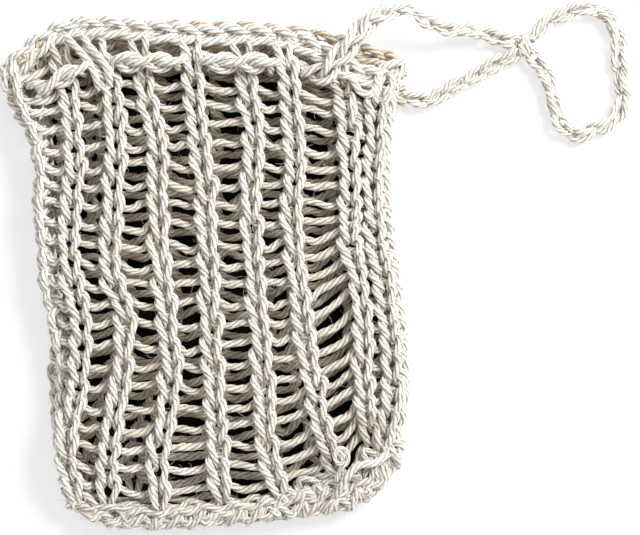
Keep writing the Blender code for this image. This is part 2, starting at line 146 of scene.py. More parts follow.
# Loops of yarn that stand out under the rim: beside the drawstring, and at the second wale
RIM_CURL = (
    (38.6, 55.6, 12.0), (41.2, 52.8, 13.4), (42.8, 50.2, 13.9), (45.2, 49.3, 14.1), (47.2, 50.6, 13.9),
    (48.6, 53.4, 12.6),
)
LONG_LEGS = (
    ((-38.4, 66.0, 12.0), (-36.0, 63.6, 13.8), (-32.6, 59.8, 15.5), (-30.4, 56.6, 15.8), (-29.2, 53.6, 15.0),
     (-28.6, 51.0, 12.6)),
    ((-33.2, 66.0, 11.8), (-31.8, 63.4, 13.8), (-29.0, 60.2, 15.4), (-26.8, 57.4, 15.8), (-25.8, 54.4, 15.0),
     (-25.6, 51.6, 12.6)),
)
# Where loose yarn fills the mouth's left corner
CORNER_WAY = (
    (-40.0, 62.4, 8.6), (-45.4, 60.6, 8.8), (-49.6, 57.0, 8.8), (-50.8, 52.0, 8.4), (-48.6, 46.4, 8.2),
    (-46.0, 41.0, 8.0),
)
OUTER_CORNER_WAY = (
    (-42.0, 63.2, 9.2), (-46.4, 61.2, 9.2), (-50.0, 58.2, 9.0), (-52.6, 54.4, 8.4), (-51.8, 49.8, 8.0),
    (-49.2, 44.6, 7.8),
)
LOW_CORNER_WAY = (
    (-42.6, 60.0, 3.2), (-46.8, 57.4, 3.4), (-48.8, 52.6, 3.6), (-47.6, 47.0, 3.6), (-45.2, 41.0, 3.4),
)
# Where the seam's yarn is bunched up, towards the right corner, and where it climbs the right fold
SEAM_FILL = (
    (14.0, -63.0, 6.2), (23.0, -61.4, 6.6), (31.0, -59.4, 7.2), (38.0, -56.4, 7.6), (45.0, -52.4, 7.8),
)
LOWER_FILL = (
    (19.0, -60.0, 6.0), (26.0, -58.0, 6.4), (32.0, -55.4, 6.6), (37.6, -51.6, 6.8),
)
RIGHT_CORNER_WAY = (
    (36.0, -57.0, 6.6), (40.4, -53.0, 7.0), (44.0, -50.0, 7.2), (46.6, -46.6, 7.0), (47.2, -43.0, 6.0),
)
# The thick strand that closes the corner at the bottom right, and its thickness
CORNER_STRAND = (
    (50.6, -49.0, 9.4), (47.0, -51.4, 11.6), (42.2, -52.2, 13.2), (39.6, -54.8, 12.8), (37.6, -58.2, 10.8),
    (35.6, -61.6, 7.6),
)
CORNER_THICKNESS = 1.05
# Tangled strands along these ways: one for each distance between a strand's turns
MOUTH_FILLS = ((CORNER_WAY, (1.7, 2.1)), (OUTER_CORNER_WAY, (1.5, 2.0)), (LOW_CORNER_WAY, (1.6, 2.1)))
SEAM_FILLS = ((SEAM_FILL, (1.6, 2.0, 2.4)), (RIGHT_CORNER_WAY, (1.6, 2.1)), (LOWER_FILL, (2.2, 2.9)))
SEAM_TANGLES = (2.1, 2.7, 3.3)
# The two strands that are whipped round the seam: the length of a turn, its reach to the side, its rise and
# its lean
WHIPS = ((5.4, 2.3, 2.2, -1.8), (8.3, 1.7, 2.0, 0.8))
# The strands that follow the seam and those under the rims: how far beside and above it each lies, how far it
# waves, and where its wave starts, in radians
SEAM_STRANDS = (
    (-2.2, 2.6, 0.7, 0.0), (-2.0, -2.2, 0.6, 1.0), (-0.3, 0.4, 0.6, 2.0), (1.7, 0.3, 0.4, 0.8),
    (-3.6, 1.0, 0.8, 2.6),
)
FRONT_RIM_STRANDS = ((-2.7, -3.0, 0.7, 0.3), (-4.3, -3.6, 0.9, 1.8))
BACK_RIM_STRANDS = ((-2.7, 0.5, 0.7, 0.3), (-4.3, 1.5, 0.9, 1.8))
# A strand beside a way: the distance between its places, how fast it waves aside and up from one place to
# the next, in radians, how far up, and its thickness
WAVY_SPACING = 2.6
WAVY_RATES = (1.9, 2.3)
WAVY_UP = 0.5
WAVY_THICKNESS = 0.95
# A whipped strand's places in a turn, how much its turns differ, and the share of that upwards
WHIP_PLACES = 12
WHIP_DIFFERS = 0.6
WHIP_DIFFERS_UP = 0.5
# A tangled strand: where it starts, in turns, how far its turns stray, how often it changes sides, how far
# it lies aside and up with how much each differs, how far its middle lies aside, and its thickness
TANGLE_START = 0.8
TANGLE_STRAYS = 0.6
TANGLE_CROSSES = 0.7
TANGLE_ASIDE = (1.1, 1.0)
TANGLE_UP = (1.2, 1.5)
TANGLE_MIDDLE = 0.2
TANGLE_THICKNESS = 0.9
# The rims are cut at this X. Beyond the first X of each side they come towards each other as the mouth opens
RIM_CUT = 0.0
RIM_MEETS = {"right": (46.0, 64.0), "left": (-43.0, -61.0)}

# The drawstring's free stretches. Each comes down from its start and follows its places on the surface
FRONT_STRAND_START = (42.7, 66.3, 16.0)
FRONT_STRAND_LEAVES = (1.1, 1.6, 0.0)
FRONT_STRAND_WAY = ((49.0, 71.2), (54.5, 72.6), (61.0, 70.2), (68.0, 67.6), (75.5, 66.8), (80.0, 66.0))
SIDE_STRAND_START = (54.8, 49.6)
SIDE_STRAND_LEAVES = (2.0, -0.3, 0.0)
SIDE_STRAND_WAY = ((62.0, 48.4), (68.5, 51.6), (74.5, 54.6), (79.5, 58.2))
LOOP_WAY = (
    (93.8, 69.8), (97.9, 72.2), (102.5, 73.6), (107.5, 73.4), (111.4, 71.2), (113.8, 66.5), (114.9, 60.5),
    (115.6, 54.0), (116.2, 48.8), (114.4, 44.7), (108.5, 41.0), (102.6, 39.1), (98.6, 41.6), (96.6, 46.6),
    (95.2, 52.5), (92.9, 58.0),
)
# The knot's middle and height, and where the cords meet it, from its middle
KNOT_AT = (88.6, 63.4)
KNOT_HEIGHT = 3.0
FRONT_MEETS = (-2.2, 1.4)
SIDE_MEETS = (-2.2, -1.8)
LOOP_LEAVES = (2.2, 2.2)
LOOP_COMES_BACK = (2.2, -2.0)
# The knot's turns: where each starts, in radians, how it leans, and its radius. Also the knot's length, its
# height as a share of its width, and the places in a full turn and in each of the knot's
KNOT_TURNS = ((0.0, 0.35, 2.3), (1.4, -0.45, 2.5), (3.2, 0.1, 2.7))
KNOT_LENGTH = 2.8
KNOT_FLATNESS = 0.78
KNOT_TURN_PLACES = 12
KNOT_PLACES = 15
# The height of the free cord's middle, its width, and the X where it leaves the piece in the mouth
CORD_REST = 2.35
SPLIT_X = 57.5

# The drawstring in its casing: its height and half the length that it keeps there, at a back wale inside the
# bag and at one outside it. Its height over the front wales, how much higher its crest is, its height under
# a wale, and half the length that it keeps there
CORD_INSIDE = (6.2, 3.0)
CORD_OUTSIDE = (2.6, 1.6)
CORD_OVER = 14.6
CORD_CREST = 0.2
CORD_UNDER = 8.8
UNDER_HALF = 1.5
# The front wales that it dives under, and how far beside them it is on top again. How far its way overlaps
# the side strand's start, how far past its split it is followed, and how far under the second front wale
# it passes from the fold to the front
DIVES = (1, 3, 5)
DIVE_REACH = 4.9
START_OVERLAP = 0.6
SPLIT_MARGIN = 4.0
FRONT_TURN_UNDER = 3.0
LEFT_TURN_WAY = (
    (-44.6, 54.2, 7.4), (-46.0, 52.0, 10.4), (-44.0, 50.9, 14.0), (-40.4, 52.6, 15.1), (-34.4, 56.0, 15.1),
)
RIM_CLIMB_WAY = ((29.4, 54.4, 12.4), (33.4, 55.2, 15.6), (37.2, 59.6, 16.2))
# The length over which the plait is drawn together towards its end, the step between its places, and how
# much its strands' width differs and how fast
PLAIT_DRAWN = 18.0
PLAIT_STEP = 0.6
PLAIT_DIFFERS = (0.10, 0.37)

# A strand's way through one stitch, from left to right: across in half widths of a stitch, up in rows,
# out in lifts of the strand, and its thickness there
STITCH = (
    (-0.60, -0.05, -1.00, 0.96), (-0.42, 0.08, -0.70, 0.97), (-0.45, 0.26, 0.15, 1.00),
    (-0.62, 0.50, 0.92, 1.03), (-0.88, 0.80, 1.08, 1.06), (-1.10, 1.06, 0.90, 1.04),
    (-1.06, 1.26, 0.15, 1.00), (-0.74, 1.42, -0.70, 0.97), (0.00, 1.49, -1.10, 0.95),
    (0.42, 1.43, -0.60, 0.97), (0.82, 1.34, 0.25, 1.00), (1.08, 1.14, 0.90, 1.03),
    (1.04, 0.92, 1.00, 1.02), (0.84, 0.68, 0.95, 1.00), (0.62, 0.42, 0.70, 0.98),
    (0.48, 0.20, 0.00, 0.96), (0.46, 0.04, -0.70, 0.96), (0.62, -0.05, -0.95, 0.96),
)
# The same through one link of a crocheted chain: along in links, across, out and thickness
LINK = (
    (-0.02, -0.28, -0.90, 0.86), (0.18, -0.42, 0.35, 0.93), (0.45, -0.80, 1.00, 1.04),
    (0.78, -1.10, 1.00, 1.06), (1.04, -1.06, 0.35, 1.02), (1.22, -0.70, -0.50, 0.97),
    (1.30, 0.00, -0.85, 0.94), (1.22, 0.70, -0.50, 0.97), (1.04, 1.06, 0.35, 1.02),
    (0.78, 1.10, 1.00, 1.06), (0.45, 0.80, 1.00, 1.04), (0.18, 0.42, 0.35, 0.93),
    (-0.02, 0.28, -0.90, 0.86), (0.30, 0.20, -1.60, 0.94), (0.68, -0.15, -1.60, 0.94),
)
# The last link ends here, in links, and a chain lies so much above its line, in lifts
LAST_LINK_ENDS = 1.1
CHAIN_RISE = 0.3
# Each maker's seed picks one pattern of unevenness
CORD_SEED = 5
RIM_SEED = 21
SEAM_SEED = 31
HAIR_SEED = 77
# A course's stations round the pouch
FRONT, RIGHT, BACK, LEFT = "front", "right", "back", "left"
RING = (
    [(FRONT, wale) for wale in range(WALES)] + [(RIGHT, WALES - 1)]
    + [(BACK, wale) for wale in reversed(range(WALES))] + [(LEFT, 0)]
)
# The courses of a wall are made as three pieces
BANDS = (("low", 0, 8), ("middle", 8, 16), ("high", 16, ROWS))

# How far hand knitting leaves its rows out of line, and how the strands between two wales hang: a slow and a
# quick wave, each with its size, its rate by the row, and how many times it turns with the phase. The phase
# moves on by the first of these at each wale, and by the second at one of the walls, in radians
DRIFT_WAVES = ((0.70, 0.62, 1.0), (0.42, 1.7, 2.1))
DRIFT_PHASES = (2.4, 1.3)
SWAY_WAVES = ((0.6, 1.25, 1.0), (0.4, 2.9, 1.7))
SWAY_PHASES = (2.1, 0.7)
# How much the stitches differ, in shares or millimetres: a stitch's width, lean, place across and up, height,
# the width of each leg, its depth and its thickness
STITCH_WIDE, STITCH_LEAN, STITCH_ASIDE, STITCH_UP = 0.12, 0.48, 0.34, 0.10
STITCH_TALL, LEG_WIDE, LEG_DEPTH, LEG_THICK = 0.05, 0.16, 0.12, 0.03
# How much further some loops of the left fold stand out, as a share of the lift
LEFT_BULGE = 0.9
# The strand between two wales: how far below its row it starts, and across and out, in half widths and lifts,
# where it leaves one wale and reaches the next
RUNG_DROP = 0.07
RUNG_LEAVES = (0.95, -0.60)
RUNG_ARRIVES = (-0.95, -1.25)
# Two places on its way: their share of it, of its sag, and how far out they lie, in lifts
RUNG_PLACES = ((0.32, 0.88, 0.30), (0.68, 0.92, -0.20))
# A shorter one than this has one place, so far out in lifts. From these lengths on it sags and sways fully,
# and its sag differs by a share
RUNG_SHORT = 2.4
RUNG_SHORT_OUT = 0.4
RUNG_SAGS = 7.0
RUNG_SWAYS = 5.0
RUNG_SAG_DIFFERS = 0.7
# How far the drawstring spreads the strands over and under it, in rows, and the shares of that by which
# their ends and their middle move
CASING_SPREAD = {CASING_ROW: 0.32, CASING_ROW - 1: -0.1}
SPREAD_ENDS = 0.6
SPREAD_MIDDLE = 0.5
# Its thickness as a share, how much that varies, and how far it strays in depth, in lifts, and up or down
RUNG_THICKNESS = 1.03
RUNG_THICKNESS_WAVE = 0.10
RUNG_DEPTH = 0.75
RUNG_STRAY = 0.72
# How much a chain's links differ in width, and how far their places stray
LINK_WIDE = 0.10
LINK_STRAY = 0.08

# Points of the cross-section's outline on each ply, how sharp its grooves are, as a power, and how deep
# every other one is, as a share
PLY_SIDES = 5
GROOVE_SHARPNESS = 1.5
SHALLOW_GROOVE = 0.8
# A strand's lumps, kinks and uneven twist are smoothed over so many places. Its kinks are a share of its
# roughness, and its twist swings by so many radians
NOISE_PLACES = (2, 3, 9)
KINK_SHARE = 0.5
TWIST_SWING = 0.9

# Darker copies of a colour are made warmer, so that their red falls least and their blue most
SHADE_POWERS = (0.93, 1.0, 1.24)
# Painted shade in the grooves between the plies, a little browner than the plies
PAINTED_GROOVE_WARMTH = (1.06, 0.96, 0.84)
# Painted shade on the strands between the wales, which lie lower, where less light comes
RUNG_PAINTED_SHADE = (0.815, 0.795, 0.757, 1.0)
# The seam's yarn is a little darker than the front's
SEAM_SHADE = 0.855
# Cotton's finish, and the strength and depth of its fine roughness, the depth in metres
COTTON = {"Roughness": 0.88, "Specular IOR Level": 0.25, "Sheen Weight": 0.12, "Sheen Roughness": 0.6}
BUMP_STRENGTH = 0.6
BUMP_DISTANCE = 0.00018
# The patterns' sizes: the fuzz and the patches by scale, and the streaks along the fibres and the threads by
# how they change round the yarn, along it and from place to place
FUZZ_SCALE = 950.0
PATCH_SCALE = 190.0
STREAKS_ROUND = 17.0
STREAKS_ALONG = 0.6
THREADS_ALONG = 0.22
PLACE_SLANT = 0.35
# Where each pattern turns from dark to light, and how dark its dark part is
STREAKS = (0.34, 0.62)
STREAK_SHADE = 0.66
PATCHES = (0.35, 0.7)
PATCH_SHADE = 0.84
PATCH_SHARE = 0.5
THREADS = (0.56, 0.34)
THREAD_SHADE = 0.72
# How far the fuzz moves the edges of the grooves' painted shade, and where that painted shade ends, in plies
FUZZ_STRAY = 0.9
GROOVE_EDGE = (0.01, 0.32)
# The distance from the pocket's middle over which the painted inner shade fades, and over which the rungs'
# painted shade does
INNER_FADES = (1.2, 7.4)
RUNG_FADES = (5.5, 7.0)
# For the painted shades the walls come together between these Y, and higher up beyond an X, by a share of the
# distance from it
TINT_CLOSING = (-45.0, -60.0)
TINT_CORNER_X = 28.0
TINT_CORNER_RISE = 0.45

# The yarn's end: a curl of so many places that starts and turns through these angles in degrees, its middle,
# its radius, how much that falls and the curl rises at each place, and its height as a share of its width
CURL_PLACES = 16
CURL_ANGLES = (-80.0, 400.0)
CURL_MIDDLE = (37.6, -49.6, 14.0)
CURL_RADIUS = 2.2
CURL_SHRINKS = 0.05
CURL_RISES = 0.08
CURL_TALL = 1.25
CURL_THICKNESS = 0.62
CURL_START = ((36.4, -56.5, 11.2, 0.6), (37.2, -53.6, 12.8, 0.62))

# A loose fibre: its bend at each step in radians, its steps' shortest and longest, their number, and how much
# of its slope is left after each. Then its thickness at the tip, as a share
HAIR_BEND = 0.5
HAIR_STEP = (0.35, 0.95)
HAIR_STEPS = 5
HAIR_FLATTENS = 0.7
HAIR_TIP = 0.4

# The view's middle and width, on the bag's upper side, and the width of the camera's sensor
VIEW_MIDDLE = (31.9, 2.06)
VIEW_WIDTH = 176.0
VIEW_LEVEL = 8.0
SENSOR = 36.0
# The key light's place, its size and the place that it shines on, in metres
KEY_AT = (0.50, 0.40, 0.62)
KEY_SIZE = 0.4
KEY_AIM = (0.02, 0.0, 0.0)
# The outlines and the heights of the floor and of the nearly black card under the bag, which paints its
# shadow seen through the gaps, and how far the floor is whitened for the camera
FLOOR_OUTLINE = ((-2000.0, -2000.0), (2000.0, -2000.0), (2000.0, 2000.0), (-2000.0, 2000.0))
FLOOR_LEVEL = -0.35
SHADOW_CARD_LEVEL = -0.1
FLOOR_WHITENED = 0.6
SHADOW_CARD_OUTLINE = (
    (-35.0, -58.0), (-37.6, -45.0), (-36.9, -28.0), (-38.4, -12.0), (-41.0, 4.0), (-41.8, 20.0),
    (-42.0, 36.0), (-45.2, 49.0), (-46.0, 55.6), (-43.0, 60.5), (-36.0, 63.0), (-20.0, 64.5), (0.0, 64.5),
    (14.0, 64.5), (26.0, 63.5), (36.0, 63.0), (44.0, 61.0), (50.0, 56.0), (50.5, 49.0), (47.4, 40.0),
    (46.8, 20.0), (48.2, 4.0), (50.2, -12.0), (51.4, -28.0), (51.4, -38.0), (48.5, -47.0), (42.5, -53.5),
    (32.5, -58.5), (20.0, -61.5), (0.0, -63.5), (-16.0, -63.8), (-28.0, -62.0),
)


# Places


def vec(*values):
    return np.array(values, dtype=float)


UP = vec(0, 0, 1)


def unit(vector):
    return vector / np.linalg.norm(vector)


def eased(value):
    value = min(1.0, max(0.0, value))
    return value * value * (3.0 - 2.0 * value)


def read_way(rows, values, at):
    """The value at a row on a smooth curve through the given ones."""
    at = min(rows[-1], max(rows[0], at))
    last = len(rows) - 2
    index = min(last, sum(1 for row in rows if row <= at) - 1)
    low, high = values[index], values[index + 1]
    width = rows[index + 1] - rows[index]
    share = (at - rows[index]) / width

    def slope(i):
        before, after = max(0, i - 1), min(len(rows) - 1, i + 1)
        return (values[after] - values[before]) / (rows[after] - rows[before]) * width

    cube, square = share ** 3, share ** 2
    value = low * (2 * cube - 3 * square + 1) + slope(index) * (cube - 2 * square + share)
    return value + high * (3 * square - 2 * cube) + slope(index + 1) * (cube - square)


def row_y(wale, row):
    """The Y of a row at a wale: the bottom corners are drawn up and the mouth dips."""
    share = min(1.0, max(0.0, row / ROWS))
    height = bpy.context.scene.soap_knitting.row_height / MM
    rise = BOTTOM_RISE[wale] * (1.0 - share) ** BOTTOM_POWER
    rise += RIGHT_RISE[wale] * eased((RIGHT_RISE_ENDS - row) / RIGHT_RISE_ROWS)
    return BOTTOM_Y + row * height + rise - MOUTH_DIP[wale] * share ** MOUTH_POWER


def waves(parts, row, phase):
    """A slow and a quick wave together."""
    return sum(size * math.sin(rate * row + turns * phase) for size, rate, turns in parts)


def drift(side, wale, row):
    """How far out of line hand knitting leaves a row at a wale."""
    phase = DRIFT_PHASES[0] * wale + (DRIFT_PHASES[1] if side == BACK else 0.0)
    return waves(DRIFT_WAVES, row, phase) * bpy.context.scene.soap_knitting.unevenness


def closing(row):
    """How far the two walls have come together towards the seam."""
    return 1.0 - eased(row / CLOSING_ROWS)


def casing_bump(row):
    """1 where the drawstring crosses a wale, and 0 away from it."""
    distance = abs(row - CASING_ROW) / CASING_REACH
    return 0.5 + 0.5 * math.cos(math.pi * distance) if distance < 1.0 else 0.0


def front_height(wale, row):
    """The middle of the front wall, pushed down under the drawstring or up over it."""
    push = -FRONT_PUSH if wale % 2 == 0 else FRONT_PUSH
    return FRONT_MIDDLE - FRONT_CLOSING * closing(row) + push * casing_bump(row)


def back_height(wale, row):
    """The middle of the back wall, lifted where the drawstring lies under it."""
    lift = 0.0 if wale % 2 == 0 else BACK_LIFT
    return BACK_MIDDLE + BACK_CLOSING * closing(row) + lift * casing_bump(row)


def station_place(station, row):
    """A wale's middle at a row, and the way that it faces."""
    side, wale = station
    x = read_way(WAY_ROWS, WALE_WAYS[wale], row)
    astray = drift(side, wale, row)
    if side == FRONT:
        return vec(x, row_y(wale, row) + astray, front_height(wale, row)), vec(0, 0, 1)
    if side == BACK:
        row = row + BACK_ROW_SHIFT
        x = x + read_way(WAY_ROWS, BACK_SHIFTS[wale], row)
        return vec(x, row_y(wale, row) + astray, back_height(wale, row)), vec(0, 0, -1)
    if side == RIGHT:
        row = row + BACK_ROW_SHIFT / 2
        height = (back_height(0, row) + front_height(0, row)) / 2
        return vec(x + RIGHT_FOLD_OUT, row_y(wale, row) + astray, height), vec(1, 0, 0)
    row = row + BACK_ROW_SHIFT / 2
    x = read_way(WAY_ROWS, LEFT_FOLD_WAY, row)
    height = read_way(WAY_ROWS, LEFT_FOLD_HEIGHT, row)
    facing = math.radians(read_way(WAY_ROWS, LEFT_FOLD_FACING, row))
    y = row_y(wale, row) + astray - LEFT_DIP * (max(0.0, row) / ROWS) ** MOUTH_POWER
    return vec(x, y, height), vec(-math.cos(facing), 0, math.sin(facing))


def beside(station, row, across, out):
    """A place beside a wale's middle."""
    middle, facing = station_place(station, row)
    along = unit(station_place(station, row + 0.05)[0] - station_place(station, row - 0.05)[0])
    sideways = unit(np.cross(along, facing))
    return middle + sideways * across + facing * out


# Lines


def smoothed(points, closed=False, steps=7):
    """A fine, smooth line through the points, and the number of the point that each place lies at."""
    points = np.asarray(points, dtype=float)
    if closed:
        wrapped = np.concatenate([points[-1:], points, points[:2]])
    else:
        wrapped = np.concatenate([2 * points[:1] - points[1:2], points, 2 * points[-1:] - points[-2:-1]])
    gaps = np.linalg.norm(np.diff(wrapped[:, :3], axis=0), axis=1)[:, None] + 1e-9
    rates = np.diff(wrapped, axis=0) / gaps
    slopes = (rates[:-1] * gaps[1:] + rates[1:] * gaps[:-1]) / (gaps[:-1] + gaps[1:])
    start, stop = wrapped[1:-2], wrapped[2:-1]
    width = gaps[1:-1]
    line, numbers = [], []
    for step in range(steps):
        t = step / steps
        place = start * (2 * t ** 3 - 3 * t ** 2 + 1) + stop * (3 * t ** 2 - 2 * t ** 3)
        place = place + width * slopes[:-1] * (t ** 3 - 2 * t ** 2 + t)
        place = place + width * slopes[1:] * (t ** 3 - t ** 2)
        line.append(place)
        numbers.append(np.arange(len(start)) + t)
    line = np.stack(line, axis=1).reshape(-1, points.shape[1])
    numbers = np.stack(numbers, axis=1).reshape(-1)
    end = points[:1] if closed else points[-1:]
    return np.concatenate([line, end]), np.append(numbers, len(start))


def walked_along(line):
    """How far along the line each of its places lies."""
    return np.append(0.0, np.cumsum(np.linalg.norm(np.diff(line[:, :3], axis=0), axis=1)))


def read_along(walked, values, at):
    """The values at a distance along a line, or at each of several distances."""
    return np.stack([np.interp(at, walked, column) for column in values.T], axis=-1)


def evenly(line, spacing):
    """The line again, with its places evenly spaced along it."""
    walked = walked_along(line)
    count = max(2, int(round(walked[-1] / spacing)))
    return read_along(walked, line, np.linspace(0.0, walked[-1], count + 1))


def fine_line(places, steps=16, spacing=0.5):
    """A fine and smooth line through the places, evenly spaced."""
    return evenly(smoothed(places, steps=steps)[0], spacing)


def directions(line):
    """The line's direction at each of its places."""
    along = np.gradient(line, axis=0)
    return along / np.linalg.norm(along, axis=1)[:, None]


def measured(places):
    """A fine line through the places, its directions, and how far along it each of its places lies."""
    line = fine_line(places)
    return line, directions(line), walked_along(line)


def carried_frames(line, facing):
    """The way that a cord faces at each place of its line, carried along with as little turning as can be."""
    along = directions(line)
    facings = [unit(facing - along[0] * np.dot(facing, along[0]))]
    for before, after in zip(along, along[1:]):
        carried = facings[-1]
        axis = before + after
        carried = carried - axis * (2.0 * np.dot(carried, axis) / np.dot(axis, axis))
        carried = carried - after * np.dot(carried, after)
        facings.append(unit(carried))
    return along, np.array(facings)


def nearest(line, place):
    return int(np.argmin(np.linalg.norm(line[:, :3] - place, axis=1)))


# Strands


def linked(name, data):
    """A new object in the scene."""
    made = bpy.data.objects.new(name, data)
    bpy.context.collection.objects.link(made)
    return made


def discard(drawn):
    """Remove an object and its curve."""
    curve = drawn.data
    bpy.data.objects.remove(drawn, do_unlink=True)
    bpy.data.curves.remove(curve)


def ply_outline(settings):
    """The yarn's cross-section: a ring of plies with a groove between each two."""
    curve = bpy.data.curves.new("ply_outline", "CURVE")
    curve.dimensions = "2D"
    spline = curve.splines.new("POLY")
    sides = PLY_SIDES * settings.plies
    spline.points.add(sides - 1)
    for i in range(sides):
        angle = 2.0 * math.pi * i / sides
        ply, corner = divmod(i, PLY_SIDES)
        depth = settings.groove * (1.0 - math.sin(math.pi * corner / PLY_SIDES)) ** GROOVE_SHARPNESS
        radius = settings.diameter / 2 * (1.0 - depth * (1.0 if ply % 2 == 0 else SHALLOW_GROOVE))
        spline.points[i].co = (radius * math.cos(angle), radius * math.sin(angle), 0.0, 1.0)
    spline.use_cyclic_u = True
    return linked("ply_outline", curve)


def soft_noise(chance, count, size):
    """A run of chance values between -1 and 1, smoothed over so many places."""
    values = chance.uniform(-1.0, 1.0, count + 2 * size)
    smooth = np.convolve(values, np.hanning(2 * size + 1) / size, mode="same")
    return smooth[size:size + count]


def add_spline(curve, places):
    """Add a line through these places, in metres, to the curve."""
    spline = curve.splines.new("POLY")
    spline.points.add(len(places) - 1)
    spline.points.foreach_set("co", np.concatenate([places, np.ones((len(places), 1))], axis=1).ravel())
    return spline


def piece_from_curve(name, curve, material):
    """The curve's surface as a piece of its own. The curve is removed."""
    draft = linked(name + "_draft", curve)
    mesh = bpy.data.meshes.new_from_object(draft.evaluated_get(bpy.context.evaluated_depsgraph_get()))
    discard(draft)
    mesh.name = name
    mesh.shade_smooth()
    mesh.materials.clear()
    mesh.materials.append(material)
    return linked(name, mesh)


def make_strands(name, strands, material, gauge=1.0):
    """One object of strands. A strand is a line of places in millimetres with its thickness as a share."""
    settings = bpy.context.scene.soap_yarn
    outline = ply_outline(settings)
    curve = bpy.data.curves.new(name, "CURVE")
    curve.dimensions = "3D"
    curve.bevel_mode = "OBJECT"
    curve.bevel_object = outline
    curve.use_fill_caps = True
    turn = -2.0 * math.pi / (settings.twist_length / MM * gauge)
    longest = 0.0
    chance = np.random.default_rng(len(strands))
    for line in strands:
        line = evenly(line, settings.spacing / MM)
        lumps, kinks, twists = (soft_noise(chance, len(line), size) for size in NOISE_PLACES)
        walked = walked_along(line)
        longest = max(longest, walked[-1])
        places = line[:, :3] * MM
        places[:, 2] += kinks * settings.roughness * settings.diameter * KINK_SHARE
        spline = add_spline(curve, places)
        spline.points.foreach_set("radius", line[:, 3] * gauge * (1.0 + settings.roughness * lumps))
        spline.points.foreach_set("tilt", walked * turn + TWIST_SWING * twists)
    piece = piece_from_curve(name, curve, material)
    discard(outline)
    stretch_map(piece.data, longest)
    return piece


def stretch_map(mesh, length):
    """Set the strand map: its first number goes round the strand, its second is millimetres along it."""
    layer = mesh.uv_layers[0]
    values = np.empty(len(mesh.loops) * 2, dtype=np.float32)
    layer.data.foreach_get("uv", values)
    values = values.reshape(-1, 2)[:, ::-1].copy()
    values[:, 1] *= length
    layer.data.foreach_set("uv", values.ravel())


def uneven(rng, amount):
    """A chance value of up to this amount either way, at the knitting's unevenness."""
    return rng.uniform(-amount, amount) * bpy.context.scene.soap_knitting.unevenness


# Knitting


def stitch_points(station, row, rng):
    """One stitch's places, with the unevenness of hand knitting."""
    settings = bpy.context.scene.soap_knitting
    half, lift = settings.stitch_half_width / MM, settings.lift / MM
    if station[0] == LEFT:
        lift *= 1.0 + LEFT_BULGE * (0.5 + uneven(rng, 0.5))
    wide = 1.0 + uneven(rng, STITCH_WIDE)
    lean, shift, rise = uneven(rng, STITCH_LEAN), uneven(rng, STITCH_ASIDE), uneven(rng, STITCH_UP)
    tall = 1.0 + uneven(rng, STITCH_TALL)
    loose = (1.0 + uneven(rng, LEG_WIDE), 1.0 + uneven(rng, LEG_WIDE))
    points = []
    for across, up, out, thick in STITCH:
        side = loose[0] if across < 0 else loose[1]
        place = across * half * wide * side + shift + lean * up
        where = beside(station, row + up * tall + rise, place, out * lift + uneven(rng, LEG_DEPTH))
        points.append((*where, thick * (1.0 + uneven(rng, LEG_THICK))))
    return points


def sway(side, wale, row):
    """A slow wave in how the strands between two wales hang, which differs from wale to wale."""
    return waves(SWAY_WAVES, row, SWAY_PHASES[0] * wale + (SWAY_PHASES[1] if side == FRONT else 0.0))


def rung_points(station, onward, row, rng):
    """The strand between two wales: it comes out from behind one and goes in behind the next."""
    settings = bpy.context.scene.soap_knitting
    half, lift = settings.stitch_half_width / MM, settings.lift / MM
    spread = CASING_SPREAD.get(row, 0.0)
    at = row - RUNG_DROP + spread * SPREAD_ENDS
    start = beside(station, at, RUNG_LEAVES[0] * half, RUNG_LEAVES[1] * lift)
    stop = beside(onward, at, RUNG_ARRIVES[0] * half, RUNG_ARRIVES[1] * lift)
    facing = unit(station_place(station, row)[1] + station_place(onward, row)[1])
    gap = np.linalg.norm(stop - start)
    if gap < RUNG_SHORT:
        return [(*((start + stop) / 2 + facing * RUNG_SHORT_OUT * lift), 1.0)]
    loose = settings.back_sway if station[0] == BACK else settings.front_sway
    wave = loose / MM * sway(station[0], station[1], row) * settings.unevenness
    sag = settings.rung_sag / MM * (1.0 + uneven(rng, RUNG_SAG_DIFFERS)) * min(1.0, gap / RUNG_SAGS)
    sag += wave * min(1.0, gap / RUNG_SWAYS)
    sag -= spread * settings.row_height / MM * SPREAD_MIDDLE
    thick = RUNG_THICKNESS + RUNG_THICKNESS_WAVE * sway(station[0], station[1] + 3, row)
    points = [(*start, 1.0)]
    for share, depth, out in RUNG_PLACES:
        place = start + (stop - start) * share + facing * (out + uneven(rng, RUNG_DEPTH)) * lift
        place[1] -= sag * depth + uneven(rng, RUNG_STRAY)
        points.append((*place, thick))
    return points + [(*stop, 1.0)]


def course(row, rng):
    """A whole course round the pouch, cut into its four sides. Each is a fine line of places."""
    points, cuts = [], {}
    for number, station in enumerate(RING):
        cuts[number, "in"] = len(points)
        points += stitch_points(station, row, rng)
        cuts[number, "out"] = len(points) - 1
        points += rung_points(station, RING[(number + 1) % len(RING)], row, rng)
    line, numbers = smoothed(points, closed=True)
    last = len(RING) - 1
    spans = {
        FRONT: (cuts[0, "in"], cuts[WALES - 1, "out"]),
        RIGHT: (cuts[WALES - 1, "out"], cuts[WALES + 1, "in"]),
        BACK: (cuts[WALES + 1, "in"], cuts[last - 1, "out"]),
        LEFT: (cuts[last - 1, "out"], len(points)),
    }
    return {side: line[(numbers >= low) & (numbers <= high)] for side, (low, high) in spans.items()}


def all_courses():
    """Every course, from the bottom up."""
    rng = random.Random(bpy.context.scene.soap_knitting.seed)
    return [course(row, rng) for row in range(ROWS)]


# Chains and plaits


